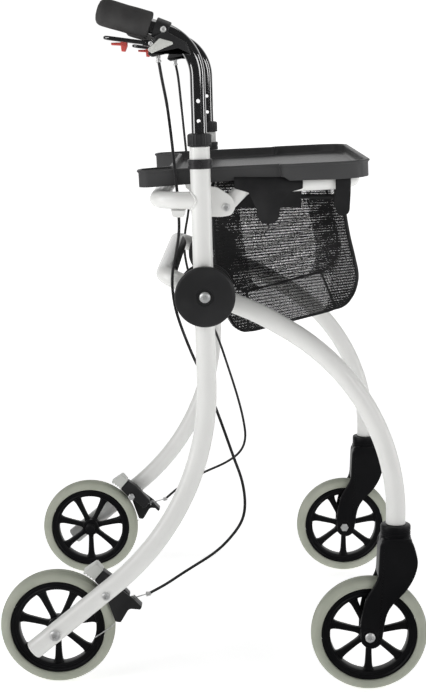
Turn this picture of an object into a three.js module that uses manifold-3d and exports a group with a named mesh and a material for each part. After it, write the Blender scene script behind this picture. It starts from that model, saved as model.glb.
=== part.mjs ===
// A rollator walker: a rear frame with two curved side tubes, a folding front frame that turns about
// two disc pivots, four spoked wheels (the front pair on swivelling forks), height-adjustable handles
// with brake levers, cables and tyre brakes, a lift-off tray and a mesh basket.
//
// Millimetres. +X is forward, +Y is the user's left, +Z is up. The origin is on the floor, midway
// between the axles and midway between the two sides.
import * as THREE from "three";
import { mergeVertices } from "three/addons/utils/BufferGeometryUtils.js";
import Module from "manifold-3d";

// Driving dimensions.
const GAP = 0.3; // between pieces that touch
const BOLT_CLEAR = 0.4; // between a shank and its hole

const WHEEL_R = 76;
const HALF_WHEELBASE = 205;
const REAR_WHEEL_Y = 230;
const FRONT_WHEEL_Y = 250;
const TYRE_W = 24;
const RIM_R = 62.4;
const RIM_W = 19;
const WINDOW_R = [17, 51];
const SPOKES = 7;
const HUB_R = 13;
const HUB_W = 23;
const AXLE_R = 4;

const SIDE_Y = 257; // plane of each side tube
const TUBE_R = 12.7;
const TUBE_TOP = [-16, 708];
const TUBE_KNEE = [-2.5, 246]; // where the upright and the leg would meet without the bend
const TUBE_FOOT = [-233, 52.5];
const TUBE_BEND_R = 335;

const PIVOT = [-9, 522]; // axis that the front frame folds about
const FRONT_TUBE_Y = 229;
const DISC_R = 39;
const DISC_W = 9;
const PIVOT_BOLT_R = 4;

const LEG_KNEE = [238, 394.8];
const LEG_FOOT_Z = 224;
const LEG_SOFT_BEND = [60, 494.7];
const LEG_BEND_R = 275;
const LEG_JOINT_X = -34; // where each front leg meets the lower bow
const LOWER_BOW = [-62, 543];
const LOWER_BOW_BEND_R = 26;
const LOWER_BOW_R = 11.7;
const FOLD_GRIP_HALF = 170; // the grip strip's half length along Y
const FOLD_GRIP_R = 14.6;

const UPPER_BOW = [-69, 641];
const UPPER_BOW_R = 11;
const UPPER_BOW_BEND_R = 30;

const HANDLE_R = 9.5;
const HANDLE_FOOT_Z = 590;
const HANDLE_CORNER_Z = 837.7;
const HANDLE_BEND_R = 60;
const HANDLE_END = [-136, 871.6];
const GRIP_START = [-76, 854.3];
const GRIP_R = 17;
const HOLE_Z = [738.8, 763.4];
const HOLE_R = 2.6;
const COLLAR_H = 16;
const COLLAR_R = 15;
const UPRIGHT_BORE_FLOOR = 534;

const LEVER_PIVOT = [-75, 833];
const LEVER_TIP = [-131, 840];
const LEVER_WIRE_R = 2.6;
const LEVER_HALF_W = 14;
const CATCH_PIN = [-108, 836];
const HOUSING_W = 28;

const TRAY_TILT = 0.049; // rise over run, front up
const TRAY_RIM = 681;
const TRAY_FLOOR = 665;
const TRAY_SKIRT = 659.5;
const TRAY_WALL = 3;
const TRAY_REAR = -94;
const TRAY_FRONT = 198;

const RAIL_R = 9.5;
const RAIL_Y = 232;
const RAIL_PIN = [17, 632];
const RAIL_FRONT_X = 178;
const RAIL_LEVEL = 655.2; // height of the rail's axis carried back to x = 0

const BASKET_HALF_W = 202;
const BASKET_WALL = 3;

const SWIVEL_X = 237;
const FORK_TOP = 223.4;
const FORK_W = 42;
const FORK_SLOT = 29;

const BRAKE_PIN = [-138, 129.5];
const BRAKE_ARM_Y = [222, 238];
const CABLE_Y = 240.5; // plane of each cable where it passes the bow and the leg

// Directions and small helpers.
const RISE = new THREE.Vector3(TUBE_TOP[0] - TUBE_KNEE[0], 0, TUBE_TOP[1] - TUBE_KNEE[1]).normalize();
const v3 = (x, y, z) => new THREE.Vector3(x, y, z);

// The point of the leaning upright's axis at a height.
function uprightAt(z, y) {
  const t = (z - TUBE_TOP[1]) / RISE.z;
  return v3(TUBE_TOP[0] + RISE.x * t, y, z);
}

// Solids: manifold-3d joins and cuts closed three.js geometries.
const wasm = await Module();
wasm.setup();

function solid(geometry) {
  const bare = geometry.clone();
  bare.deleteAttribute("normal");
  bare.deleteAttribute("uv");
  const merged = mergeVertices(bare, 1e-4);
  return new wasm.Manifold(
    new wasm.Mesh({
      numProp: 3,
      vertProperties: new Float32Array(merged.attributes.position.array),
      triVerts: new Uint32Array(merged.index.array),
    }),
  );
}

function geometryOf(body) {
  const mesh = body.getMesh();
  const geometry = new THREE.BufferGeometry();
  geometry.setAttribute("position", new THREE.BufferAttribute(mesh.vertProperties, 3));
  geometry.setIndex(new THREE.BufferAttribute(mesh.triVerts, 1));
  geometry.computeVertexNormals();
  return geometry;
}

const join = (first, ...rest) => rest.reduce((whole, piece) => whole.add(piece), first);
const cut = (first, ...rest) => rest.reduce((whole, piece) => whole.subtract(piece), first);

// Materials.
const paint = (color, roughness, metalness) => () =>
  new THREE.MeshStandardMaterial({ color, roughness, metalness });
const FINISH = {
  white: paint("#eeeeea", 0.32, 0.1),
  black: paint("#1b1c1e", 0.42, 0),
  gloss_black: paint("#101113", 0.2, 0.3),
  foam: paint("#3b3a3a", 0.85, 0),
  tyre: paint("#a3a898", 0.75, 0),
  steel: paint("#c2c4c6", 0.28, 1),
  red: paint("#c2473f", 0.4, 0),
  grey: paint("#c9cac6", 0.35, 0),
  tray: paint("#2e2f31", 0.38, 0),
  mesh: paint("#1d1e1f", 0.9, 0),
};

const walker = new THREE.Group();
walker.name = "rollator_walker";

function add(name, shape, finish) {
  const geometry = shape.isBufferGeometry ? shape : geometryOf(shape);
  const mesh = new THREE.Mesh(geometry, FINISH[finish]());
  mesh.name = name;
  walker.add(mesh);
}

// Both sides of the walker: side is -1 for the user's right and +1 for the left.
function eachSide(build) {
  build("right", -1);
  build("left", 1);
}

// A route along corner points, with each inner corner rounded to a bend radius. Its stations are only
// where the tube turns, so straight stretches stay single segments.
class Route extends THREE.Curve {
  constructor(stations) {
    super();
    this.stations = stations;
  }

  getPoint(t, target = new THREE.Vector3()) {
    const last = this.stations.length - 1;
    const place = Math.min(Math.max(t, 0), 1) * last;
    const index = Math.min(Math.floor(place), last - 1);
    return target.lerpVectors(this.stations[index], this.stations[index + 1], place - index);
  }

  getPointAt(u, target) {
    return this.getPoint(u, target);
  }

  getTangentAt(u, target) {
    return this.getTangent(u, target);
  }
}

function bend(corners, radii, stepDegrees = 9) {
  const stations = [corners[0]];
  for (let i = 1; i < corners.length - 1; i += 1) {
    const here = corners[i];
    const back = corners[i - 1].clone().sub(here).normalize();
    const ahead = corners[i + 1].clone().sub(here).normalize();
    const turn = Math.PI - back.angleTo(ahead);
    const reach = radii[i - 1] * Math.tan(turn / 2);
    const inward = back.clone().add(ahead).normalize();
    const centre = here.clone().addScaledVector(inward, radii[i - 1] / Math.cos(turn / 2));
    const from = here.clone().addScaledVector(back, reach).sub(centre);
    const axis = back.clone().negate().cross(ahead).normalize();
    const steps = Math.max(2, Math.ceil(THREE.MathUtils.radToDeg(turn) / stepDegrees));
    for (let k = 0; k <= steps; k += 1) {
      stations.push(from.clone().applyAxisAngle(axis, (turn * k) / steps).add(centre));
    }
  }
  stations.push(corners[corners.length - 1]);
  return stations;
}

function circle(radius, sides) {
  const shape = new THREE.Shape();
  for (let i = 0; i < sides; i += 1) {
    const angle = (2 * Math.PI * (i + 0.5)) / sides;
    const x = radius * Math.cos(angle);
    const y = radius * Math.sin(angle);
    if (i === 0) shape.moveTo(x, y);
    else shape.lineTo(x, y);
  }
  return shape;
}

function tube(stations, radius, sides = 12) {
  return new THREE.ExtrudeGeometry(circle(radius, sides), {
    steps: stations.length - 1,
    bevelEnabled: false,
    extrudePath: new Route(stations),
  });
}

// A straight round bar between two points.
function bar(from, to, radius, sides = 12) {
  const length = from.distanceTo(to);
  const geometry = new THREE.CylinderGeometry(radius, radius, length, sides);
  const turn = new THREE.Quaternion().setFromUnitVectors(v3(0, 1, 0), to.clone().sub(from).normalize());
  geometry.applyQuaternion(turn);
  const middle = from.clone().add(to).multiplyScalar(0.5);
  return geometry.translate(middle.x, middle.y, middle.z);
}

const crossBar = (x, z, y0, y1, radius, sides = 12) => bar(v3(x, y0, z), v3(x, y1, z), radius, sides);

// A turned piece about a line along Y through (x, z): profile points are [radius, y].
function turned(profile, x, z, segments = 24) {
  const points = profile.map(([radius, y]) => new THREE.Vector2(radius, y));
  return new THREE.LatheGeometry(points, segments).translate(x, 0, z);
}

// A plate: an outline in the X-Z plane, given a thickness from y0 to y1.
function plate(points, y0, y1) {
  const shape = new THREE.Shape(points.map(([x, z]) => new THREE.Vector2(x, z)));
  const geometry = new THREE.ExtrudeGeometry(shape, { depth: Math.abs(y1 - y0), bevelEnabled: false });
  geometry.rotateX(Math.PI / 2);
  return geometry.translate(0, Math.max(y0, y1), 0);
}

// Points of an arc about (x, z), from one angle to another in degrees.
function arc(x, z, radius, from, to, count) {
  return Array.from({ length: count + 1 }, (_, i) => {
    const angle = THREE.MathUtils.degToRad(from + ((to - from) * i) / count);
    return [x + radius * Math.cos(angle), z + radius * Math.sin(angle)];
  });
}

// Two distances from the middle plane as a y range on one side, lower end first.
const sided = (side, inner, outer) => [side * inner, side * outer].sort((a, b) => a - b);

// Side tubes: upright and rear leg in one bent tube, with the lug for the basket rail.
function sideTubeStations(side) {
  const at = ([x, z]) => v3(x, side * SIDE_Y, z);
  return bend([at(TUBE_TOP), at(TUBE_KNEE), at(TUBE_FOOT)], [TUBE_BEND_R], 7.4);
}

function lugPlate(side) {
  const [px, pz] = RAIL_PIN;
  const rear = -12;
  const outline = [[rear, pz - 12], [px - 3, pz - 12], ...arc(px, pz, 11, -100, 60, 6), [rear, pz + 26]];
  return plate(outline, ...sided(side, 245, 250));
}

eachSide((name, side) => {
  const y = side * SIDE_Y;
  const [boltX, boltZ] = PIVOT;
  const through = [y - 30, y + 30];
  const handleBore = bar(uprightAt(UPRIGHT_BORE_FLOOR, y), uprightAt(730, y), HANDLE_R + 0.5, 12);
  const body = cut(
    join(solid(tube(sideTubeStations(side), TUBE_R)), solid(lugPlate(side))),
    solid(handleBore),
    solid(crossBar(boltX, boltZ, ...through, PIVOT_BOLT_R + BOLT_CLEAR)),
    solid(crossBar(-HALF_WHEELBASE, WHEEL_R, ...through, AXLE_R + BOLT_CLEAR)),
    solid(crossBar(...BRAKE_PIN, ...through, 3 + BOLT_CLEAR)),
    solid(crossBar(...RAIL_PIN, ...through, 3 + BOLT_CLEAR)),
  );
  add(`${name}_side_tube`, body, "white");

  const foot = v3(TUBE_FOOT[0], y, TUBE_FOOT[1]);
  const along = v3(TUBE_FOOT[0] - TUBE_KNEE[0], 0, TUBE_FOOT[1] - TUBE_KNEE[1]).normalize();
  const capStart = foot.clone().addScaledVector(along, GAP);
  const capEnd = capStart.clone().addScaledVector(along, 3);
  add(`${name}_leg_cap`, bar(capStart, capEnd, TUBE_R), "white");

  const ringBore = solid(bar(uprightAt(660, y), uprightAt(720, y), TUBE_R + 0.8, 14));
  const ring = solid(bar(uprightAt(680.6, y), uprightAt(692.3, y), TUBE_R + 2.6, 14));
  add(`${name}_tray_ring`, cut(ring, ringBore), "black");

  const collarBase = TUBE_TOP[1] + GAP;
  const collar = solid(bar(uprightAt(collarBase, y), uprightAt(collarBase + COLLAR_H, y), COLLAR_R, 16));
  const collarBore = solid(bar(uprightAt(690, y), uprightAt(740, y), HANDLE_R + 0.5, 12));
  add(`${name}_height_collar`, cut(collar, collarBore), "black");
});

// Upper bow: a U-shaped tube behind the uprights, coped to their round backs.
{
  const [x, z] = UPPER_BOW;
  const front = -14;
  const corners = [v3(front, -SIDE_Y, z), v3(x, -SIDE_Y, z), v3(x, SIDE_Y, z), v3(front, SIDE_Y, z)];
  const bow = solid(tube(bend(corners, [UPPER_BOW_BEND_R, UPPER_BOW_BEND_R], 18), UPPER_BOW_R, 10));
  const copes = [-SIDE_Y, SIDE_Y].map((y) =>
    solid(bar(uprightAt(600, y), uprightAt(680, y), TUBE_R + 0.6, 16)),
  );
  add("upper_bow", cut(bow, ...copes), "white");
}

// Cable guides: small brackets under the upper bow's arms.
eachSide((name, side) => {
  const outline = [[-52, 629.7], [-49, 620], [-36, 620], [-33, 629.7]];
  const block = solid(plate(outline, ...sided(side, 235.5, 262)));
  const eye = solid(bar(v3(-43, side * CABLE_Y, 610), v3(-43, side * CABLE_Y, 640), 3, 8));
  add(`${name}_cable_guide`, cut(block, eye), "white");
});

// A turned piece on one side: its profile's y is counted outwards from the middle of the walker.
function turnedOnSide(profile, side, x, z, segments) {
  const placed = profile.map(([radius, y]) => [radius, side * y]);
  return turned(side > 0 ? placed : placed.reverse(), x, z, segments);
}

// Disc covers and pivot bolts on the fold axis.
eachSide((name, side) => {
  const [x, z] = PIVOT;
  const inner = SIDE_Y + TUBE_R + GAP;
  const bore = PIVOT_BOLT_R + BOLT_CLEAR;
  const disc = [
    [bore, inner],
    [DISC_R, inner],
    [DISC_R, inner + 6],
    [DISC_R - 3, inner + DISC_W],
    [10, inner + DISC_W],
    [10, inner + DISC_W - 1.5],
    [bore, inner + DISC_W - 1.5],
    [bore, inner],
  ];
  add(`${name}_disc_cover`, turnedOnSide(disc, side, x, z, 24), "black");

  const head = inner + DISC_W - 1.5 + GAP;
  const nut = 206;
  const bolt = [
    [0, nut],
    [6.5, nut],
    [6.5, nut + 4],
    [PIVOT_BOLT_R, nut + 4],
    [PIVOT_BOLT_R, head],
    [7, head],
    [6, head + 3.5],
    [0, head + 4],
  ];
  add(`${name}_pivot_bolt`, turnedOnSide(bolt, side, x, z, 10), "steel");

  const hub = [
    [bore, 211],
    [34, 211],
    [36, 213],
    [36, 215.6],
    [bore, 215.6],
    [bore, 211],
  ];
  add(`${name}_inner_cover`, turnedOnSide(hub, side, x, z, 20), "black");
});

// Front frame: two bent legs and the lower bow that joins them behind the pivots.
const lineHeight = (x) => {
  const [x0, z0] = LOWER_BOW;
  const [x1, z1] = LEG_SOFT_BEND;
  return z0 + ((z1 - z0) * (x - x0)) / (x1 - x0);
};

eachSide((name, side) => {
  const inner = side * FRONT_TUBE_Y;
  const outer = side * FRONT_WHEEL_Y;
  const corners = [
    v3(LEG_JOINT_X, inner, lineHeight(LEG_JOINT_X)),
    v3(LEG_SOFT_BEND[0], inner, LEG_SOFT_BEND[1]),
    v3(LEG_KNEE[0], outer, LEG_KNEE[1]),
    v3(SWIVEL_X, outer, LEG_FOOT_Z),
  ];
  const leg = solid(tube(bend(corners, [220, LEG_BEND_R], 8), TUBE_R));
  const stemBore = solid(bar(v3(SWIVEL_X, outer, 200), v3(SWIVEL_X, outer, 268), 6.6, 12));
  const pivotBore = solid(crossBar(...PIVOT, inner - 25, inner + 25, PIVOT_BOLT_R + BOLT_CLEAR));
  add(`${name}_front_leg`, cut(leg, stemBore, pivotBore), "white");
});

{
  const [x, z] = LOWER_BOW;
  const startX = LEG_JOINT_X - GAP;
  const corners = [
    v3(startX, -FRONT_TUBE_Y, lineHeight(startX)),
    v3(x, -FRONT_TUBE_Y, z),
    v3(x, FRONT_TUBE_Y, z),
    v3(startX, FRONT_TUBE_Y, lineHeight(startX)),
  ];
  const bow = tube(bend(corners, [LOWER_BOW_BEND_R, LOWER_BOW_BEND_R], 18), LOWER_BOW_R);
  add("lower_bow", bow, "white");

  // The grip strip is a channel clipped under the bow's front: a sleeve less its upper rear side.
  const bore = LOWER_BOW_R + 0.7;
  const sleeve = [
    [bore, -FOLD_GRIP_HALF],
    [FOLD_GRIP_R, -FOLD_GRIP_HALF],
    [FOLD_GRIP_R, FOLD_GRIP_HALF],
    [bore, FOLD_GRIP_HALF],
    [bore, -FOLD_GRIP_HALF],
  ];
  const block = 60;
  const lip = 1; // the channel's edges stop this far past the tube's middle
  const open = new THREE.BoxGeometry(block, 2 * FOLD_GRIP_HALF + 10, block);
  open.translate(0, 0, block / 2 - lip).rotateY(-Math.PI / 4).translate(x, 0, z);
  add("fold_grip", cut(solid(turned(sleeve, x, z, 20)), solid(open)), "black");
}

// Wheels: a rim with seven tapered spokes, and a solid tyre.
function rim(x, y) {
  const ring = [
    [WINDOW_R[1], -RIM_W / 2],
    [RIM_R, -RIM_W / 2],
    [RIM_R, RIM_W / 2],
    [WINDOW_R[1], RIM_W / 2],
    [WINDOW_R[1], -RIM_W / 2],
  ];
  const bore = AXLE_R + BOLT_CLEAR;
  const hub = [
    [bore, -HUB_W / 2],
    [HUB_R, -HUB_W / 2],
    [HUB_R, HUB_W / 2],
    [bore, HUB_W / 2],
    [bore, -HUB_W / 2],
  ];
  const pieces = [solid(turned(ring, 0, 0, 28)), solid(turned(hub, 0, 0, 10))];
  for (let i = 0; i < SPOKES; i += 1) {
    const spoke = plate([[HUB_R - 3, -3.6], [52.5, -5.6], [52.5, 5.6], [HUB_R - 3, 3.6]], -4.5, 4.5);
    spoke.rotateY((2 * Math.PI * i) / SPOKES + Math.PI / 2);
    pieces.push(solid(spoke));
  }
  return geometryOf(join(...pieces)).translate(x, y, WHEEL_R);
}

function tyre(x, y) {
  const inner = RIM_R + GAP;
  const half = TYRE_W / 2;
  const profile = [
    [inner, -half + 1],
    [WHEEL_R - 5, -half],
    [WHEEL_R - 1, -half + 5],
    [WHEEL_R, 0],
    [WHEEL_R - 1, half - 5],
    [WHEEL_R - 5, half],
    [inner, half - 1],
    [inner, -half + 1],
  ];
  return turned(profile, x, WHEEL_R, 28).translate(0, y, 0);
}

eachSide((name, side) => {
  for (const [end, x, y] of [
    ["rear", -HALF_WHEELBASE, side * REAR_WHEEL_Y],
    ["front", HALF_WHEELBASE, side * FRONT_WHEEL_Y],
  ]) {
    add(`${name}_${end}_rim`, rim(x, y), "black");
    add(`${name}_${end}_tyre`, tyre(x, y), "tyre");
  }

  const outer = SIDE_Y + TUBE_R + GAP;
  const inner = REAR_WHEEL_Y - HUB_W / 2 - 1;
  const axle = [
    [0, inner - 5],
    [7, inner - 5],
    [7, inner],
    [AXLE_R, inner],
    [AXLE_R, outer],
    [7.5, outer],
    [6.5, outer + 4.5],
    [0, outer + 5],
  ];
  add(`${name}_rear_axle`, turnedOnSide(axle, side, -HALF_WHEELBASE, WHEEL_R, 10), "steel");
});

// Casters: a fork with a round collar and stem that turns in the front leg, and its axle.
function fork(side) {
  const y = side * FRONT_WHEEL_Y;
  const half = FORK_W / 2;
  const outline = [
    ...arc(HALF_WHEELBASE + 2, WHEEL_R - 2, 14, -180, -20, 8),
    [226, 103],
    [234, 120],
    [250, 138],
    [260.5, 156],
    [264, 174],
    [261, 190],
    [256, 208],
    [219, 208],
    [214.5, 190],
    [213, 155],
    [199, 128],
    [193, 90],
  ];
  const collar = bar(v3(SWIVEL_X, y, 200), v3(SWIVEL_X, y, FORK_TOP), 19.5, 16);
  const stem = bar(v3(SWIVEL_X, y, FORK_TOP - 5), v3(SWIVEL_X, y, FORK_TOP + 38), 6, 10);
  const slot = [y - FORK_SLOT / 2, y + FORK_SLOT / 2];
  const wheelRoom = crossBar(HALF_WHEELBASE, WHEEL_R, ...slot, WHEEL_R + 3.8, 28);
  const hole = crossBar(HALF_WHEELBASE, WHEEL_R, y - 40, y + 40, AXLE_R + BOLT_CLEAR);
  const blank = join(solid(plate(outline, y - half, y + half)), solid(collar), solid(stem));
  return cut(blank, solid(wheelRoom), solid(hole));
}

eachSide((name, side) => {
  add(`${name}_caster_fork`, fork(side), "black");
  const y0 = FRONT_WHEEL_Y - FORK_W / 2 - GAP;
  const y1 = FRONT_WHEEL_Y + FORK_W / 2 + GAP;
  const axle = [
    [0, y0 - 3],
    [6.5, y0 - 3],
    [6.5, y0],
    [AXLE_R, y0],
    [AXLE_R, y1],
    [6.5, y1],
    [6.5, y1 + 3],
    [0, y1 + 3],
  ];
  add(`${name}_front_axle`, turnedOnSide(axle, side, HALF_WHEELBASE, WHEEL_R, 10), "steel");
});

// Handles: the sliding tube with its height holes, the foam grip, and the brake lever's housing.
function handleStations(side) {
  const y = side * SIDE_Y;
  const end = v3(HANDLE_END[0], y, HANDLE_END[1]);
  return bend([uprightAt(HANDLE_FOOT_Z, y), uprightAt(HANDLE_CORNER_Z, y), end], [HANDLE_BEND_R], 12.5);
}

eachSide((name, side) => {
  const y = side * SIDE_Y;
  const holes = HOLE_Z.map((z) => {
    const middle = uprightAt(z, y);
    return solid(crossBar(middle.x, z, y - 20, y + 20, HOLE_R, 8));
  });
  add(`${name}_handle_tube`, cut(solid(tube(handleStations(side), HANDLE_R)), ...holes), "gloss_black");

  const start = v3(GRIP_START[0], y, GRIP_START[1]);
  const end = v3(HANDLE_END[0], y, HANDLE_END[1]);
  const along = end.clone().sub(start).normalize();
  const length = start.distanceTo(end);
  const bore = HANDLE_R + 0.6;
  const profile = [
    [bore, 0],
    [GRIP_R - 1.5, 0],
    [GRIP_R, 2],
    [GRIP_R, length - 5],
    [GRIP_R - 2.5, length + 1.5],
    [GRIP_R - 9, length + 5],
    [0, length + 5.5],
    [0, length + GAP],
    [bore, length + GAP],
    [bore, 0],
  ];
  const grip = new THREE.LatheGeometry(
    profile.map(([radius, h]) => new THREE.Vector2(radius, h)),
    16,
  );
  grip.applyQuaternion(new THREE.Quaternion().setFromUnitVectors(v3(0, 1, 0), along));
  add(`${name}_grip`, grip.translate(start.x, start.y, start.z), "foam");
});

// Brake levers: a housing clamped under the handle's bend, a wire loop and a red parking catch.
eachSide((name, side) => {
  const y = side * SIDE_Y;
  const half = HOUSING_W / 2;
  const [px, pz] = LEVER_PIVOT;
  const outline = [[-80, 822], [-68, 818], [-40, 824], [-24, 818], [-34, 836], [-60, 848], [-70, 841]];
  const body = solid(plate(outline, y - half, y + half));
  const room = solid(tube(handleStations(side), HANDLE_R + 0.5));
  const slot = solid(plate([[-90, 827], [-66, 825.5], [-66, 841], [-90, 843]], y - 9, y + 9));
  const pin = solid(crossBar(px, pz, y - half + 1, y + half - 1, 2.2, 8));
  add(`${name}_brake_housing`, join(cut(body, room, slot), pin), "black");

  const w = side * LEVER_HALF_W;
  const root = v3(px - 8.5, y - w, pz + 1);
  const tip = v3(LEVER_TIP[0], y - w, LEVER_TIP[1]);
  const farTip = v3(LEVER_TIP[0], y + w, LEVER_TIP[1]);
  const farRoot = v3(px - 8.5, y + w, pz + 1);
  const loop = solid(tube(bend([root, tip, farTip, farRoot], [8, 8], 30), LEVER_WIRE_R, 8));
  const bridge = solid(bar(root, farRoot, LEVER_WIRE_R, 8));
  const tongue = [[px - 10, pz - 1.5], [px + 1, pz - 4.5], [px + 5, pz], [px, pz + 5], [px - 10, pz + 3.5]];
  const shank = solid(plate(tongue, y - 6, y + 6));
  const eye = solid(crossBar(px, pz, y - 20, y + 20, 2.6, 10));
  const catchPin = solid(crossBar(...CATCH_PIN, y - LEVER_HALF_W, y + LEVER_HALF_W, 1.6, 8));
  add(`${name}_brake_lever`, join(cut(join(shank, bridge), eye), loop, catchPin), "gloss_black");

  const [cx, cz] = CATCH_PIN;
  const hook = [
    [cx - 4, cz + 3.6],
    [cx - 4, cz - 2],
    [cx - 16, cz - 3],
    [cx - 16, cz - 6],
    [cx - 4, cz - 7],
    [cx - 3, cz - 13],
    [cx + 2, cz - 13],
    [cx + 4, cz - 6],
    [cx + 4, cz + 3.6],
  ];
  const hookEye = solid(crossBar(cx, cz, y - 10, y + 10, 2.0, 10));
  add(`${name}_parking_catch`, cut(solid(plate(hook, y - 5, y + 5)), hookEye), "red");
});

// Tyre brakes: a bracket and pin on each leg, and an arm with a shoe that presses the tyre.
eachSide((name, side) => {
  const [px, pz] = BRAKE_PIN;
  const inboard = 209;
  const outer = SIDE_Y + TUBE_R + GAP;
  const pin = [
    [0, inboard],
    [5.5, inboard],
    [5.5, inboard + 4],
    [3, inboard + 4],
    [3, outer],
    [5.5, outer],
    [5.5, outer + 3.5],
    [0, outer + 3.5],
  ];
  add(`${name}_brake_pin`, turnedOnSide(pin, side, px, pz, 8), "steel");

  const strap = [
    ...arc(px, pz, 8, 100, 250, 5),
    [px + 10, pz - 44],
    [px + 17, pz - 45],
    [px + 28, pz - 26],
    [px + 42.6, pz - 27.2],
    [px + 45, pz - 24],
    [px + 33.5, pz - 12],
    [px + 8, pz + 8],
  ];
  const stop = [[px + 31, pz - 16], [px + 42.6, pz - 27.2], [px + 45, pz - 24], [px + 33.5, pz - 12]];
  const hole = crossBar(px, pz, side * 200, side * 260, 3 + BOLT_CLEAR, 12);
  const bracket = join(
    solid(plate(strap, ...sided(side, 240.6, 243.9))),
    solid(plate(stop, ...sided(side, 224, 242))),
  );
  add(`${name}_brake_bracket`, cut(bracket, solid(hole)), "black");

  const arm = [
    [px + 30, pz - 10],
    [px + 7.5, pz + 13.8],
    [px - 6, pz + 24],
    [px - 17.7, pz + 10],
    [px - 8.3, pz - 0.4],
    [px + 11.3, pz - 14.3],
    [px + 20.3, pz - 23],
  ];
  add(`${name}_brake_arm`, cut(solid(plate(arm, ...sided(side, ...BRAKE_ARM_Y))), solid(hole)), "black");

  const shoe = [[px - 6.3, pz + 24.2], [px - 14.5, pz + 34], [px - 32.8, pz + 20.5], [px - 18, pz + 10.2]];
  add(`${name}_brake_shoe`, plate(shoe, ...sided(side, 220, 240)), "grey");
});

// Brake cables: from each lever housing down beside the upright and back along the leg to the bracket.
const CABLE_R = 1.9;
const RIGHT_CABLE = [
  [-66, 257, 812], [-62, 259, 790], [-56, 256, 758], [-51, 247, 716], [-48, 241.5, 685],
  [-45, 240.5, 655], [-43, 240.5, 630], [-42.5, 241, 600], [-46, 244, 574], [-50.5, 246, 548],
  [-50, 246, 522], [-44, 244, 492], [-28, 241, 448], [-8, 240.5, 404], [8, 238, 362],
  [26, 234, 310], [38, 233, 275], [42, 234, 245], [38, 235, 222], [24, 235, 200],
  [2, 235, 178], [-36, 234, 152], [-62, 233, 134], [-84.5, 233, 121],
];
const LEFT_CABLE = [
  [-66, 257, 812], [-62, 259, 790], [-57, 256, 745], [-52, 246, 700], [-48, 240.5, 665],
  [-44, 240.5, 635], [-43, 240.5, 615], [-47, 243, 580], [-52, 246, 548], [-52, 246, 515],
  [-42, 243, 475], [-20, 240.5, 430], [0, 239, 385], [14, 237, 345], [31, 234, 292],
  [41, 233, 252], [44, 234, 222], [36, 235, 200], [14, 235, 182], [-28, 234, 162],
  [-60, 233, 142], [-84.5, 233, 121],
];

function cable(points, side) {
  const curve = new THREE.CatmullRomCurve3(
    points.map(([x, y, z]) => v3(x, side * y, z)),
    false,
    "centripetal",
  );
  return tube(curve.getSpacedPoints(38), CABLE_R, 8);
}

add("right_brake_cable", cable(RIGHT_CABLE, -1), "black");
add("left_brake_cable", cable(LEFT_CABLE, 1), "black");

// Basket rail: a U-shaped tube pinned to the lugs, rising to lie under the tray.
{
  const [px, pz] = RAIL_PIN;
  const level = (x) => RAIL_LEVEL + TRAY_TILT * x;
  const half = (s) => [
    v3(px, s * RAIL_Y, pz),
    v3(px + 24, s * RAIL_Y, level(px + 24)),
    v3(RAIL_FRONT_X, s * RAIL_Y, level(RAIL_FRONT_X)),
  ];
  const corners = [...half(-1), ...half(1).reverse()];
  const rail = solid(tube(bend(corners, [18, 45, 45, 18], 22), RAIL_R, 10));
  const holes = solid(crossBar(px, pz, -260, 260, 3 + BOLT_CLEAR, 12));
  const ends = [-1, 1].map((s) => solid(crossBar(px, pz, ...sided(s, RAIL_Y - 9, RAIL_Y + 9), 9.5, 12)));
  add("basket_rail", cut(join(rail, ...ends), holes), "white");

  eachSide((name, side) => {
    const bolt = [
      [0, RAIL_Y - 13.5],
      [5, RAIL_Y - 13.5],
      [5, RAIL_Y - 9.5 - GAP],
      [3, RAIL_Y - 9.5 - GAP],
      [3, 250 + GAP],
      [5, 250 + GAP],
      [5, 253.5],
      [0, 253.5],
    ];
    add(`${name}_rail_bolt`, turnedOnSide(bolt, side, px, pz, 8), "steel");
  });
}

// Tray: a shallow tray with two ears that reach back past the uprights. It tilts up to the front.
function trayOutline(inset) {
  const wide = 250 - inset;
  const waist = 236 - inset;
  const front = TRAY_FRONT - inset;
  const rear = TRAY_REAR + inset;
  const middle = -55 + inset;
  const step = 86 + inset;
  const half = [
    [middle, 168 + inset],
    [middle - 8, 176 + inset],
    [rear + 12, 188 + inset],
    [rear, 198 + inset],
    [rear, waist - 10],
    [rear + 10, waist],
    [step, waist],
    [step, wide],
    [front - 38, wide],
    [front - 12, wide - 12],
    [front, wide - 38],
  ];
  return [...half, ...half.map(([x, y]) => [x, -y]).reverse()];
}

function slab(outline, z0, z1) {
  const shape = new THREE.Shape(outline.map(([x, y]) => new THREE.Vector2(x, y)));
  return new THREE.ExtrudeGeometry(shape, { depth: z1 - z0, bevelEnabled: false }).translate(0, 0, z0);
}

{
  const outside = solid(slab(trayOutline(0), TRAY_SKIRT, TRAY_RIM));
  const hollow = solid(slab(trayOutline(TRAY_WALL), TRAY_FLOOR + 3, TRAY_RIM + 10));
  const under = solid(slab(trayOutline(TRAY_WALL), TRAY_SKIRT - 10, TRAY_FLOOR));
  const waist = [[-38, -260], [90, -260], [90, 260], [-38, 260]];
  const noSkirt = solid(slab(waist, TRAY_SKIRT - 10, TRAY_FLOOR));
  const tray = geometryOf(cut(outside, hollow, under, noSkirt));
  tray.translate(0, 0, -TRAY_FLOOR).rotateY(-Math.atan(TRAY_TILT)).translate(0, 0, TRAY_FLOOR);
  add("tray", tray, "tray");
}

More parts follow.
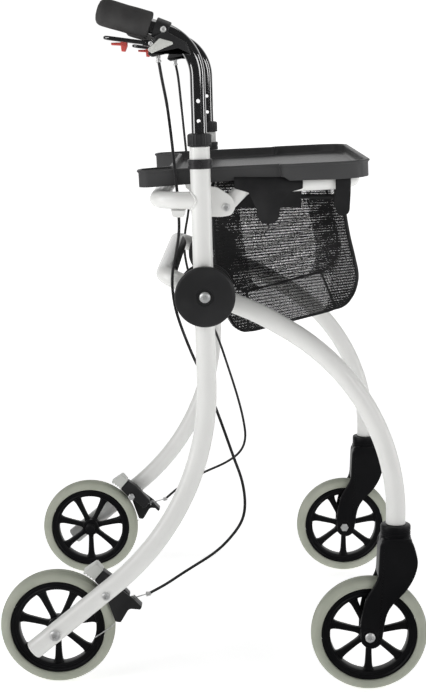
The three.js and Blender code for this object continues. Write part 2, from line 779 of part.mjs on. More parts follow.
// Basket: the outer shape of the mesh bag that hangs inside the rail, open at the top.
{
  const outline = [
    [-4, 642],
    [0, 560],
    [14, 492],
    [41, 464],
    [112, 480],
    [163, 496],
    [184, 515],
    [190, 537],
    [185, 563],
    [177, 595],
    [168, 640],
  ];
  const inner = [
    [0, 660],
    [3, 561],
    [17, 494],
    [42, 467.5],
    [111, 483.2],
    [162, 499],
    [181, 517],
    [186.8, 537],
    [182, 562.5],
    [174, 594.5],
    [162, 660],
  ];
  const w = BASKET_HALF_W;
  const inside = w - BASKET_WALL;
  add("basket", cut(solid(plate(outline, -w, w)), solid(plate(inner, -inside, inside))), "mesh");
}

export default walker;
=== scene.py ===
import math

import bpy
import numpy as np
from mathutils import Matrix


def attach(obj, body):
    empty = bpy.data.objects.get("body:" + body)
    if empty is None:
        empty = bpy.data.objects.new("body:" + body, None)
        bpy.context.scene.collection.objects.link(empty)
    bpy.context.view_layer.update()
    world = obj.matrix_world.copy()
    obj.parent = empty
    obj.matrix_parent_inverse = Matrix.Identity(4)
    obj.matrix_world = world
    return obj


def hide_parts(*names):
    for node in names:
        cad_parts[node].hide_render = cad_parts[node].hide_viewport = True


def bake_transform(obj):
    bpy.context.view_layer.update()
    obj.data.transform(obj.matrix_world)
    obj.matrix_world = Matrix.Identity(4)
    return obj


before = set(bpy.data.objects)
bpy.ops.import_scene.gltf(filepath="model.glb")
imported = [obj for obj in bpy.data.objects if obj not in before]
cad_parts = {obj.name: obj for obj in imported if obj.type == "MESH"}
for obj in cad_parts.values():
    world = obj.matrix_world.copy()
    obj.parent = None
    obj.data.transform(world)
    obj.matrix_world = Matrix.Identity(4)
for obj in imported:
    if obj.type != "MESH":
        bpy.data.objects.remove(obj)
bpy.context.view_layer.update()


# ---- The room -------------------------------------------------------------------------------------
# A pale flat floor, lit by large soft panels from above, the left and the right. The floor also glows:
# painted light, dim near the walker and brighter further out, so the far floor reads white. The camera
# stands at the user's right and looks slightly down.

def aim(obj, place, target):
    """Puts an object at a place with its -Z axis towards a target."""
    place, target = np.array(place, float), np.array(target, float)
    back = (place - target) / np.linalg.norm(place - target)
    side = np.cross((0.0, 0.0, 1.0), back)
    side /= np.linalg.norm(side)
    up = np.cross(back, side)
    turn = np.column_stack([side, up, back])
    obj.matrix_world = Matrix([[*turn[i], place[i]] for i in range(3)] + [[0, 0, 0, 1]])


camera_data = bpy.data.cameras.new("camera")
camera_data.lens = 80.42
camera_data.sensor_width = 36.0
camera = bpy.data.objects.new("camera", camera_data)
bpy.context.scene.collection.objects.link(camera)
bpy.context.scene.camera = camera
CAMERA_PLACE = (0.0334, -2.1881, 0.7931)
CAMERA_YAW, CAMERA_PITCH = -0.0169, -0.1726
aim(camera, CAMERA_PLACE, (
    CAMERA_PLACE[0] + math.sin(CAMERA_YAW) * math.cos(CAMERA_PITCH),
    CAMERA_PLACE[1] + math.cos(CAMERA_YAW) * math.cos(CAMERA_PITCH),
    CAMERA_PLACE[2] + math.sin(CAMERA_PITCH),
))

PANELS = {
    "key": ((-1.9, -1.9, 2.1), (0.0, 0.0, 0.45), (1.2, 1.2), 16.5),
    "fill": ((1.9, -2.3, 1.3), (0.0, 0.0, 0.45), (0.9, 0.9), 10.0),
    "top": ((0.2, 0.4, 3.0), (0.0, 0.0, 0.4), (1.6, 1.6), 12.0),
    "left_box": ((-2.1, -0.75, 1.0), (0.0, -0.2, 0.7), (0.8, 1.6), 14.0),
    "right_strip": ((2.1, -0.22, 1.0), (0.0, -0.2, 0.8), (0.32, 1.6), 10.0),
}
for name, (place, target, (wide, tall), power) in PANELS.items():
    lamp = bpy.data.lights.new(name, "AREA")
    lamp.shape = "RECTANGLE"
    lamp.size, lamp.size_y = wide, tall
    lamp.energy = power
    panel = bpy.data.objects.new(name, lamp)
    panel.visible_camera = False
    bpy.context.scene.collection.objects.link(panel)
    aim(panel, place, target)

world = bpy.data.worlds.new("room")
bpy.context.scene.world = world
world.use_nodes = True
sky = world.node_tree
sky_place = sky.nodes.new("ShaderNodeTexCoord")
sky_parts = sky.nodes.new("ShaderNodeSeparateXYZ")
sky_ramp = sky.nodes.new("ShaderNodeMapRange")
for key, value in {"From Min": 0.4, "From Max": 0.9, "To Min": 0.06, "To Max": 1.02}.items():
    sky_ramp.inputs[key].default_value = value
sky.links.new(sky_place.outputs["Generated"], sky_parts.inputs["Vector"])
sky.links.new(sky_parts.outputs["Y"], sky_ramp.inputs["Value"])
sky.links.new(sky_ramp.outputs["Result"], sky.nodes["Background"].inputs["Strength"])
sky.nodes["Background"].inputs["Color"].default_value = (1.0, 1.0, 1.0, 1.0)
bpy.context.scene.view_settings.view_transform = "Standard"


class Wire:
    """One output socket of a material. Arithmetic on it adds Math nodes to the material."""

    def __init__(self, material, socket):
        self.material = material
        self.socket = socket

    def math(self, operation, *others):
        return self.material.node("ShaderNodeMath", {"operation": operation}, {
            index: value for index, value in enumerate((self, *others))
        })

    def __add__(self, other):
        return self.math("ADD", other)

    def __sub__(self, other):
        return self.math("SUBTRACT", other)

    def __mul__(self, other):
        return self.math("MULTIPLY", other)

    def __rsub__(self, other):
        return self.material.node("ShaderNodeMath", {"operation": "SUBTRACT"}, {0: other, 1: self})

    __radd__ = __add__
    __rmul__ = __mul__


class Finish:
    """A material in the making. node() adds any node; the rest are the few that come up often."""

    def __init__(self, name, **fixed):
        self.data = bpy.data.materials.new(name)
        self.data.use_nodes = True
        self.tree = self.data.node_tree
        self.shader = self.tree.nodes["Principled BSDF"]
        self.set(**fixed)

    def set(self, **values):
        """Sets or links the shader's sockets: base_color is Base Color, and so on."""
        for key, value in values.items():
            words = key.replace("_", " ").title().replace("Ior", "IOR")
            self.plug(self.shader.inputs[words], value)
        return self

    def plug(self, socket, value):
        if isinstance(value, Wire):
            self.tree.links.new(value.socket, socket)
        elif isinstance(value, (tuple, list)) and len(value) == 3 and socket.type == "RGBA":
            socket.default_value = (*value, 1.0)
        else:
            socket.default_value = value

    def node(self, kind, settings=None, sockets=None, output=0):
        made = self.tree.nodes.new(kind)
        for key, value in (settings or {}).items():
            setattr(made, key, value)
        for key, value in (sockets or {}).items():
            self.plug(made.inputs[key], value)
        return Wire(self, made.outputs[output])

    def place(self, source="Object"):
        """Where a point is: the object's own coordinates, or the piece's UV map."""
        return self.node("ShaderNodeTexCoord", output=source)

    def noise(self, scale, detail=2.0, where=None, roughness=0.5):
        sockets = {"Vector": where or self.place(), "Scale": scale, "Detail": detail, "Roughness": roughness}
        return self.node("ShaderNodeTexNoise", None, sockets)

    def range(self, value, low, high, to_low, to_high):
        return self.node("ShaderNodeMapRange", None, {
            "Value": value, "From Min": low, "From Max": high, "To Min": to_low, "To Max": to_high,
        })

    def blend(self, share, first, second):
        return self.node("ShaderNodeMix", {"data_type": "RGBA"}, {0: share, 6: first, 7: second}, output=2)

    def tone(self, scale, first, second):
        """Two close colours that drift into each other over the piece."""
        return self.blend(self.range(self.noise(scale, 3.0), 0.35, 0.65, 0.0, 1.0), first, second)

    def bump(self, height, strength=0.3, distance=0.0005):
        return self.node("ShaderNodeBump", None, {
            "Height": height, "Strength": strength, "Distance": distance,
        })


FLOOR_HALF = 40.0
floor_corners = [(x, y, 0.0) for x, y in ((-1, -1), (1, -1), (1, 1), (-1, 1))]
floor_mesh = bpy.data.meshes.new("floor")
floor_mesh.from_pydata([(x * FLOOR_HALF, y * FLOOR_HALF, z) for x, y, z in floor_corners], [], [(0, 1, 2, 3)])
# The floor glows with painted light. Its emission runs from 0.62 grey within 0.6 m of the middle to white beyond 3 m.
glowing_paper = Finish("glowing_paper", roughness=0.95, specular_ior_level=0.1, emission_strength=1.0)
spread = glowing_paper.node("ShaderNodeVectorMath", {"operation": "LENGTH"}, {0: glowing_paper.place()}, 1)
glowing_paper.set(emission_color=glowing_paper.blend(glowing_paper.range(spread, 0.6, 3.0, 0.0, 1.0), (0.62, 0.62, 0.62), (1.0, 1.0, 1.0)))
glowing_paper.set(base_color=glowing_paper.tone(3.0, (0.93, 0.93, 0.93), (0.95, 0.95, 0.95)))
floor_mesh.materials.append(glowing_paper.data)
floor = bpy.data.objects.new("floor", floor_mesh)
bpy.context.scene.collection.objects.link(floor)
floor.visible_glossy = False


# ---- Side tubes -----------------------------------------------------------------------------------
# Each side tube is one piece of one-inch aluminium tube: a slightly leaning upright that bends back
# into the rear leg. White powder coat. A lug for the basket rail is welded to its front.

SIDES = (("right", -1), ("left", 1))
SIDE_Y = 257.0
TUBE_R = 12.7
TUBE_TOP = np.array((-16.0, 708.0))
TUBE_KNEE = np.array((-2.5, 246.0))
TUBE_FOOT = np.array((-233.0, 52.5))
RISE = (TUBE_TOP - TUBE_KNEE) / np.linalg.norm(TUBE_TOP - TUBE_KNEE)


def skin(rings, loop=False):
    """Quads between neighbouring rings of points (count, around, 3), wrapped around each ring. The end
    rings get flat faces, unless loop joins the last ring to the first."""
    rings = np.asarray(rings, float)
    count, around, _ = rings.shape
    index = np.arange(count * around).reshape(count, around)
    if loop:
        index = np.vstack([index, index[:1]])
    right = np.roll(index, -1, axis=1)
    quads = np.stack([index[:-1], right[:-1], right[1:], index[1:]], axis=-1).reshape(-1, 4)
    ends = [] if loop else [index[0][::-1], index[-1]]
    return rings.reshape(-1, 3), quads, ends


def outward(shell):
    """The shell with its faces turned to point outwards, judged by the sign of its volume."""
    points, quads, ends = shell
    a, b, c, d = (points[quads[:, k]] for k in range(4))
    volume = np.einsum("ij,ij->", a, np.cross(b, c)) + np.einsum("ij,ij->", a, np.cross(c, d))
    for end in ends:
        hub = np.broadcast_to(points[end[0]], (len(end) - 2, 3))
        volume += np.einsum("ij,ij->", hub, np.cross(points[end[1:-1]], points[end[2:]]))
    if volume < 0:
        return points, quads[:, ::-1], [end[::-1] for end in ends]
    return shell


def mirror(shells, side):
    """Shells as built for the user's left, or reflected to the right where side is -1."""
    return [(points * (1, side, 1), quads, ends) for points, quads, ends in shells]


MM = 0.001


def piece(name, shells, finish, crease=35.0, uv=None):
    """One object in metres from shells in millimetres. Edges sharper than crease degrees stay crisp."""
    points, faces, start = [], [], 0
    for verts, quads, ends in map(outward, shells):
        points.append(verts * MM)
        faces += (quads + start).tolist() + [(end + start).tolist() for end in ends]
        start += len(verts)
    mesh = bpy.data.meshes.new(name)
    mesh.from_pydata(np.concatenate(points), [], faces)
    mesh.polygons.foreach_set("use_smooth", np.ones(len(mesh.polygons), bool))
    mesh.set_sharp_from_angle(angle=math.radians(crease))
    mesh.materials.append(finish.data)
    obj = bpy.data.objects.new(name, mesh)
    bpy.context.scene.collection.objects.link(obj)
    return obj


def fit(obj, body, slot, *nodes):
    """Rides the piece on its body and hides the CAD nodes that it stands for. The slot is not used."""
    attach(obj, body)
    if nodes:
        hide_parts(*nodes)


def upright_at(z):
    """The point (x, z) of the leaning upright's axis at a height."""
    return TUBE_TOP + RISE * (z - TUBE_TOP[1]) / RISE[1]


def bend(corners, radii, step=4.0):
    """A route through corner points, with each inner corner rounded to its radius, a point every few
    degrees of turn and a point at each end."""
    corners = [np.asarray(corner, float) for corner in corners]
    stations = [corners[0][None]]
    for back, here, ahead, radius in zip(corners, corners[1:], corners[2:], radii):
        to_back = (back - here) / np.linalg.norm(back - here)
        to_ahead = (ahead - here) / np.linalg.norm(ahead - here)
        turn = math.pi - math.acos(np.clip(to_back @ to_ahead, -1, 1))
        inward = (to_back + to_ahead) / np.linalg.norm(to_back + to_ahead)
        centre = here + inward * radius / math.cos(turn / 2)
        angles = np.linspace(-turn / 2, turn / 2, max(3, int(math.degrees(turn) / step) + 2))[:, None]
        across = (to_ahead - to_back) / np.linalg.norm(to_ahead - to_back)
        stations.append(centre + radius * (across * np.sin(angles) - inward * np.cos(angles)))
    stations.append(corners[-1][None])
    return np.concatenate(stations)


def in_plane(points, y):
    """(x, z) points placed in the plane at y."""
    points = np.asarray(points, float)
    return np.column_stack([points[:, 0], np.full(len(points), float(y)), points[:, 1]])


def sweep(path, profile, hint=(0.0, 1.0, 0.0), loop=False):
    """Carries a profile along a path, square to it: ring i is path[i] + side * u + up * v, where up is
    the hint made square to the path. The profile is one outline, or one for each station."""
    path = np.asarray(path, float)
    if loop:
        ahead = np.roll(path, -1, axis=0) - np.roll(path, 1, axis=0)
    else:
        ahead = np.gradient(path, axis=0)
    ahead /= np.linalg.norm(ahead, axis=1)[:, None]
    up = np.asarray(hint, float) - ahead * (ahead @ np.asarray(hint, float))[:, None]
    up /= np.linalg.norm(up, axis=1)[:, None]
    side = np.cross(ahead, up)
    profile = np.asarray(profile, float)
    if profile.ndim == 2:
        profile = np.broadcast_to(profile, (len(path), *profile.shape))
    u, v = profile[..., 0:1], profile[..., 1:2]
    return path[:, None] + side[:, None] * u + up[:, None] * v


def circle(radius, count=28):
    """A round outline as (u, v) points."""
    angle = np.linspace(0, 2 * math.pi, count, endpoint=False)
    return np.column_stack([np.cos(angle), np.sin(angle)]) * radius


def pipe(path, radius, hint=(0.0, 1.0, 0.0), count=28, lip=0.8):
    """A round bar along a path, with its two ends eased over a small lip."""
    path = np.asarray(path, float)
    first = (path[1] - path[0]) / np.linalg.norm(path[1] - path[0])
    last = (path[-1] - path[-2]) / np.linalg.norm(path[-1] - path[-2])
    path = np.concatenate([path[:1], path[:1] + first * lip, path[1:-1], path[-1:] - last * lip, path[-1:]])
    radii = np.full(len(path), float(radius))
    radii[[0, -1]] -= lip
    return skin(sweep(path, circle(1.0, count) * radii[:, None, None], hint))


def turn(profile, start, ahead, count=32, flutes=0, depth=0.0):
    """A turned solid: profile points are (radius, distance along the axis) from start. Flutes cut its
    widest rings by depth * (1 - cos(n * angle)) / 2. A profile that ends where it starts is a ring."""
    ahead = np.asarray(ahead, float) / np.linalg.norm(ahead)
    hint = np.array((0.0, 0.0, 1.0)) if abs(ahead[2]) < 0.9 else np.array((1.0, 0.0, 0.0))
    side = np.cross(ahead, hint)
    side /= np.linalg.norm(side)
    up = np.cross(side, ahead)
    angle = np.linspace(0, 2 * math.pi, count, endpoint=False)
    spoke = np.outer(np.cos(angle), side) + np.outer(np.sin(angle), up)
    profile = np.asarray(profile, float)
    closed = bool(np.allclose(profile[0], profile[-1]))
    profile = profile[:-1] if closed else profile
    radii = np.broadcast_to(profile[:, 0:1], (len(profile), count))
    if flutes:
        outer = profile[:, 0:1] > profile[:, 0].max() - 0.3
        radii = radii - outer * depth * (0.5 - 0.5 * np.cos(angle * flutes))
    rings = np.asarray(start, float) + profile[:, 1, None, None] * ahead + radii[..., None] * spoke
    return skin(rings, loop=closed)


def eased(points, radius, step=20.0):
    """The outline with every corner rounded, as a closed loop."""
    points = np.asarray(points, float)
    ring = np.concatenate([points[-1:], points, points[:1]])
    radii = np.broadcast_to(radius, len(points))
    return np.concatenate([bend(ring[i:i + 3], [radii[i]], step)[1:-1] for i in range(len(points))])


def biscuit(outline, y0, y1, round_over=1.0, steps=4):
    """A plate in the X-Z plane from y0 to y1 with both rims rounded over: the outline is drawn in by
    round_over * (1 - sin a) while y runs through round_over * (1 - cos a)."""
    outline = np.asarray(outline, float)
    ahead = np.roll(outline, -1, axis=0) - np.roll(outline, 1, axis=0)
    normal = np.column_stack([ahead[:, 1], -ahead[:, 0]])
    normal /= np.maximum(np.linalg.norm(normal, axis=1), 1e-9)[:, None]
    area = np.sum(outline[:, 0] * np.roll(outline[:, 1], -1) - outline[:, 1] * np.roll(outline[:, 0], -1))
    normal *= math.copysign(1.0, area)
    angle = np.linspace(0, math.pi / 2, steps + 1)
    inset = round_over * (1 - np.sin(angle))
    depth = round_over * (1 - np.cos(angle))
    insets = np.concatenate([inset, inset[::-1]])
    levels = np.concatenate([y0 + depth, y1 - depth[::-1]])
    return skin(np.stack([in_plane(outline - normal * i, y) for i, y in zip(insets, levels)]))


def bead(path, hint, thick=1.5, ripple=2.2):
    """A weld bead along a closed path: a round section whose radius swells by 16% at every ripple."""
    path = np.asarray(path, float)
    gaps = np.linalg.norm(np.roll(path, -1, axis=0) - path, axis=1)
    reach = np.concatenate([[0.0], np.cumsum(gaps)[:-1]])
    waves = max(6, round(float(gaps.sum()) / ripple))
    thick = thick * (1 + 0.16 * np.cos(2 * math.pi * waves * reach / gaps.sum()))
    return skin(sweep(path, circle(1.0, 8) * thick[:, None, None], hint, loop=True), loop=True)


white = Finish("white_powder_coat", coat_weight=0.35, coat_roughness=0.12, specular_ior_level=0.5)
speckle = white.noise(900.0, 3.0)
white.set(
    base_color=white.tone(9.0, (0.80, 0.80, 0.78), (0.84, 0.84, 0.82)),
    roughness=white.range(speckle, 0.3, 0.7, 0.26, 0.38),
    normal=white.bump(speckle, 0.12, 0.0002),
)

RAIL_PIN = np.array((17.0, 632.0))
LUG_Y = (245.0, 250.0)
side_route = in_plane(bend([TUBE_TOP, TUBE_KNEE, TUBE_FOOT], [335.0], 2.0), SIDE_Y)
lug_outline = eased([(-10, 620), (12, 620), (24, 622), (29, 632), (25, 645), (6, 657), (-10, 659)],
                    [1, 8, 8, 9, 14, 8, 1])
for name, side in SIDES:
    shells = [
        pipe(side_route, TUBE_R, count=36),
        biscuit(lug_outline, *LUG_Y, 1.2),
        pipe(in_plane([(-5.4, 621), (-6.6, 657)], 250.4), 1.8, count=10),
        pipe(in_plane([(-5.4, 621), (-6.6, 657)], 244.8), 1.8, count=10),
    ]
    tube = piece(f"{name}_side_tube_coated", mirror(shells, side), white)
    fit(tube, "rear_frame", "white_paint", f"{name}_side_tube")

    foot = np.array((TUBE_FOOT[0], SIDE_Y, TUBE_FOOT[1]))
    down = np.array((TUBE_FOOT[0] - TUBE_KNEE[0], 0.0, TUBE_FOOT[1] - TUBE_KNEE[1]))
    cap_profile = [(12.3, -0.2), (12.7, 0.3), (12.7, 1.2), (12.0, 2.4), (9.0, 3.1), (4.0, 3.3), (0.5, 3.3)]
    cap = piece(f"{name}_foot_cap", mirror([turn(cap_profile, foot, down)], side), white)
    fit(cap, "rear_frame", "white_paint", f"{name}_leg_cap")


# ---- Tray rings and height collars ----------------------------------------------------------------
# Moulded black plastic. A ring on each upright holds the tray's height; a fluted collar on top of
# each upright clamps the sliding handle tube.

black = Finish("black_plastic", specular_ior_level=0.3)
grain = black.noise(1500.0, 2.0)
black.set(
    base_color=black.tone(14.0, (0.022, 0.022, 0.023), (0.034, 0.034, 0.035)),
    roughness=black.range(grain, 0.3, 0.7, 0.30, 0.46),
    normal=black.bump(grain, 0.2, 0.0002),
)

RISE_3D = np.array((RISE[0], 0.0, RISE[1]))


def on_upright(z):
    """The point of the left upright's axis at a height."""
    x, z = upright_at(z)
    return np.array((x, SIDE_Y, z))


ring_profile = [(12.9, 0), (14.7, 0), (15.3, 0.6), (15.3, 4.2), (14.8, 4.7), (14.8, 6.9), (15.3, 7.4),
                (15.3, 11.1), (14.7, 11.7), (12.9, 11.7), (12.9, 0)]
collar_profile = [(10.0, 0), (14.4, 0), (15.0, 0.7), (15.0, 2.4), (14.5, 3.0), (14.9, 3.6), (14.9, 13.4),
                  (14.2, 14.8), (12.4, 15.8), (10.4, 16.0), (10.0, 15.6), (10.0, 0)]
for name, side in SIDES:
    ring = turn(ring_profile, on_upright(680.6), RISE_3D, 48)
    lip = turn([(0.01, 0), (2.6, 0), (2.6, 1.6), (2.0, 2.2), (0.01, 2.2)], on_upright(686.4) + (0, 14.6, 0), (0, 1, 0), 20)
    obj = piece(f"{name}_tray_ring_moulded", mirror([ring, lip], side), black)
    fit(obj, "rear_frame", "black_plastic", f"{name}_tray_ring")
    collar = turn(collar_profile, on_upright(TUBE_TOP[1] + 0.3), RISE_3D, 144, flutes=24, depth=0.6)
    obj = piece(f"{name}_height_collar_moulded", mirror([collar], side), black)
    fit(obj, "rear_frame", "black_plastic", f"{name}_height_collar")


# ---- Upper bow ------------------------------------------------------------------------------------
# A U of thinner aluminium tube behind the uprights that stops the side tubes from racking. It is
# welded to them, coated with them, and carries a small clip on each arm for the brake cable.

UPPER_BOW = (-69.0, 641.0)
UPPER_BOW_R = 11.0
bow_x, bow_z = UPPER_BOW
bow_path = bend([(-14, -SIDE_Y, bow_z), (bow_x, -SIDE_Y, bow_z), (bow_x, SIDE_Y, bow_z), (-14, SIDE_Y, bow_z)],
                [30, 30])
angle = np.linspace(0, 2 * math.pi, 72, endpoint=False)
bow_y = (UPPER_BOW_R + 0.5) * np.cos(angle)
saddle = np.column_stack([-14 - np.sqrt(13.0 ** 2 - bow_y ** 2), SIDE_Y + bow_y, bow_z + (UPPER_BOW_R + 0.5) * np.sin(angle)])
shells = [pipe(bow_path, UPPER_BOW_R, (0, 0, 1), 32)]
for side in (-1, 1):
    shells += mirror([bead(saddle, (1, 0, 0))], side)
bow = piece("upper_bow_coated", shells, white)
fit(bow, "rear_frame", "white_paint", "upper_bow")

CABLE_Y = 240.5
clip_outline = eased([(-52, 630), (-50, 620.4), (-35.5, 620.4), (-33, 630)], [1, 3, 3, 1])
for name, side in SIDES:
    shells = [
        biscuit(clip_outline, 235.8, 262, 1.4),
        turn([(2.2, 0), (4.2, 0), (4.6, 0.6), (4.6, 1.4), (2.2, 2.0), (2.2, 0)], (-43, CABLE_Y, 618.6), (0, 0, 1), 24),
    ]
    clip = piece(f"{name}_cable_clip", mirror(shells, side), white)
    fit(clip, "rear_frame", "white_paint", f"{name}_cable_guide")


# ---- Disc pivots ----------------------------------------------------------------------------------
# The front frame folds about a bolt through each side tube. A moulded black disc covers the joint on
# the outside, a smaller one backs it on the inside, and a plated bolt and lock nut clamp the stack.

steel = Finish("plated_steel", metallic=0.6)
scratch = steel.noise(500.0, 4.0)
steel.set(
    base_color=steel.tone(40.0, (0.74, 0.75, 0.75), (0.86, 0.86, 0.85)),
    roughness=steel.range(scratch, 0.3, 0.7, 0.34, 0.48),
    normal=steel.bump(scratch, 0.1, 0.0001),
)

PIVOT = (-9.0, 522.0)
Y_AXIS = (0.0, 1.0, 0.0)


def across(profile, x, z, count=32):
    """A turned piece about a line along Y through (x, z): profile points are (radius, y)."""
    return turn(profile, (x, 0.0, z), Y_AXIS, count)


def bolt_head(radius, y, height, x, z, count=32):
    """A button head with a drive recess, standing on the plane at y and facing outwards."""
    return across([(0.01, y), (radius, y), (radius, y + 0.35 * height), (0.86 * radius, y + 0.75 * height),
                   (0.6 * radius, y + height), (0.42 * radius, y + height), (0.36 * radius, y + 0.5 * height),
                   (0.01, y + 0.5 * height)], x, z, count)


def nut(radius, y0, y1, x, z):
    """A hexagon nut with chamfered faces between two planes."""
    ease = 0.12 * (y1 - y0)
    return across([(0.01, y0), (0.88 * radius, y0), (radius, y0 + ease), (radius, y1 - ease),
                   (0.88 * radius, y1), (0.01, y1)], x, z, 6)


cover_profile = [(4.4, 270.0), (37.6, 270.0), (38.2, 270.6), (38.2, 275.6), (37.8, 276.8), (37.0, 277.7),
                 (35.6, 278.3), (33.0, 278.7), (22.0, 279.1), (12.6, 279.3), (11.2, 278.9), (10.4, 277.7),
                 (4.4, 277.7), (4.4, 270.0)]
backing_profile = [(4.4, 211), (33.6, 211), (35.2, 211.6), (36, 213), (36, 215.6), (4.4, 215.6), (4.4, 211)]
pivot_x, pivot_z = PIVOT
for name, side in SIDES:
    obj = piece(f"{name}_disc_cover_moulded", mirror([across(cover_profile, pivot_x, pivot_z, 96)], side), black)
    fit(obj, "rear_frame", "black_plastic", f"{name}_disc_cover")
    obj = piece(f"{name}_backing_disc", mirror([across(backing_profile, pivot_x, pivot_z, 72)], side), black)
    fit(obj, "front_frame", "black_plastic", f"{name}_inner_cover")
    shells = [
        bolt_head(7.0, 277.8, 3.8, pivot_x, pivot_z, 36),
        nut(6.5, 206.0, 210.6, pivot_x, pivot_z),
        across([(0.01, 204.6), (3.9, 204.6), (4.0, 205.2), (4.0, 278.0), (0.01, 278.0)], pivot_x, pivot_z, 20),
    ]
    obj = piece(f"{name}_pivot_bolt_plated", mirror(shells, side), steel)
    fit(obj, "rear_frame", "steel", f"{name}_pivot_bolt")


# ---- Front frame ----------------------------------------------------------------------------------
# Two bent legs of the same one-inch tube run from the pivots down to the casters, spreading a little
# as they go. A bow joins them behind the pivots. A ribbed black strip is clipped round the bow's lower front
# half, which lies in shade. The strip is partly a real grip and partly painted shade.

FRONT_TUBE_Y = 229.0
FRONT_WHEEL_Y = 250.0
LOWER_BOW = np.array((-62.0, 543.0))
LEG_SOFT_BEND = np.array((60.0, 494.7))
LEG_KNEE = (238.0, 394.8)
LEG_FOOT = (237.0, 224.0)
LEG_JOINT_X = -34.0


def bow_line(x, y):
    """A point at x of the straight line from the lower bow to the legs' first bend."""
    share = (x - LOWER_BOW[0]) / (LEG_SOFT_BEND[0] - LOWER_BOW[0])
    return np.array((x, y, LOWER_BOW[1] + share * (LEG_SOFT_BEND[1] - LOWER_BOW[1])))


leg_path = bend([bow_line(LEG_JOINT_X, FRONT_TUBE_Y), bow_line(LEG_SOFT_BEND[0], FRONT_TUBE_Y),
                 (LEG_KNEE[0], FRONT_WHEEL_Y, LEG_KNEE[1]), (LEG_FOOT[0], FRONT_WHEEL_Y, LEG_FOOT[1])],
                [220, 275], 2.5)
for name, side in SIDES:
    shells = [
        pipe(leg_path, TUBE_R, count=36),
        turn([(0.01, 0), (12.2, 0), (12.75, 0.5), (12.75, 2.2), (0.01, 2.2)], (LEG_FOOT[0], FRONT_WHEEL_Y, LEG_FOOT[1] - 0.2),
             (0, 0, 1), 36),
    ]
    obj = piece(f"{name}_front_leg_coated", mirror(shells, side), white)
    fit(obj, "front_frame", "white_paint", f"{name}_front_leg")

LOWER_BOW_R = 11.7
start = bow_line(LEG_JOINT_X - 0.3, FRONT_TUBE_Y)
corner = bow_line(LOWER_BOW[0], FRONT_TUBE_Y)
flip = np.array((1.0, -1.0, 1.0))
lower_path = bend([start * flip, corner * flip, corner, start], [26, 26])
lower = piece("lower_bow_coated", [pipe(lower_path, LOWER_BOW_R, (0, 0, 1), 36)], white)
fit(lower, "front_frame", "white_paint", "lower_bow")

# The black strip covers the bow's lower front half, where the bow is in shade. Its dark is partly a real grip and
# partly painted shade.
STRIP_HALF = 170.0
strip_angle = np.radians(np.linspace(-138, 48, 30))
strip_y = np.concatenate([[-STRIP_HALF, 1 - STRIP_HALF], np.linspace(3 - STRIP_HALF, STRIP_HALF - 3, 60 * 6 + 1),
                          [STRIP_HALF - 1, STRIP_HALF]])
strip_r = 14.25 + 0.3 * np.cos(2 * math.pi * 60 * (strip_y + STRIP_HALF - 3) / (2 * STRIP_HALF - 6))
strip_r[[0, 1, -2, -1]] = 13.6, 14.4, 14.4, 13.6
fan = np.column_stack([np.cos(strip_angle), np.sin(strip_angle)])
strip_rings = []
for y, radius in zip(strip_y, strip_r):
    around = np.concatenate([fan * radius, fan[::-1] * (LOWER_BOW_R + 0.7)])
    strip_rings.append(np.column_stack([LOWER_BOW[0] + around[:, 0], np.full(60, y), LOWER_BOW[1] + around[:, 1]]))
obj = piece("fold_grip_and_shade_strip", [skin(strip_rings)], black, crease=60)
fit(obj, "front_frame", "black_plastic", "fold_grip")


# ---- Wheels ---------------------------------------------------------------------------------------
# Six-inch wheels: black moulded rims with seven flared spokes, and solid grey-green tyres with two
# shallow grooves round the tread. Plated bolts with black end caps hold the rear pair to the tubes.

WHEEL_R = 76.0
AXLE_X = 205.0
REAR_WHEEL_Y = 230.0
SPOKES = 7

rubber = Finish("tyre_rubber", specular_ior_level=0.4)
pores = rubber.noise(1100.0, 3.0)
rubber.set(
    base_color=rubber.tone(22.0, (0.365, 0.385, 0.315), (0.430, 0.445, 0.375)),
    roughness=rubber.range(pores, 0.3, 0.7, 0.55, 0.72),
    normal=rubber.bump(pores, 0.25, 0.0003),
)

ebony = Finish("wheel_nylon", specular_ior_level=0.22)
fleck = ebony.noise(1500.0, 2.0)
ebony.set(
    base_color=ebony.tone(14.0, (0.004, 0.004, 0.005), (0.008, 0.008, 0.009)),
    roughness=ebony.range(fleck, 0.3, 0.7, 0.32, 0.5),
    normal=ebony.bump(fleck, 0.2, 0.0002),
)

rim_profile = [(51, -6.6), (51.6, -8.0), (53.2, -8.9), (55.0, -9.2), (55.8, -8.5), (58.6, -8.5), (59.4, -9.3),
               (61.6, -9.5), (62.4, -8.8)]
rim_profile += [(radius, -y) for radius, y in reversed(rim_profile)]
hub_profile = [(4.4, -11.2), (7.4, -11.5), (8.2, -10.6), (11.8, -10.4), (13.0, -9.2)]
hub_profile += [(radius, -y) for radius, y in reversed(hub_profile)]
tyre_half = [(62.7, -10.4), (63.6, -11.4), (66.5, -12.0), (70.2, -11.8), (72.6, -10.7), (74.4, -8.6),
             (75.2, -6.6), (75.7, -4.9), (75.0, -4.4), (75.0, -3.6), (75.85, -3.1), (76.0, -1.2)]
tyre_profile = tyre_half + [(radius, -y) for radius, y in reversed(tyre_half)]
oval_turn = np.linspace(0, 2 * math.pi, 28, endpoint=False)
oval = np.column_stack([np.sign(np.cos(oval_turn)) * np.abs(np.cos(oval_turn)) ** 0.55,
                        np.sign(np.sin(oval_turn)) * np.abs(np.sin(oval_turn)) ** 0.55])
reach = np.linspace(11.0, 52.2, 22)
spoke_half = 3.3 + 0.045 * (reach - 11) + 3.0 * np.exp(-(reach - 11) / 3) + 4.5 * np.exp(-(52.2 - reach) / 3)
spoke_deep = 4.6 + 1.6 * np.exp(-(reach - 11) / 5) + 1.8 * np.exp(-(52.2 - reach) / 4)
spoke_section = oval * np.stack([spoke_half, spoke_deep], axis=-1)[:, None, :]


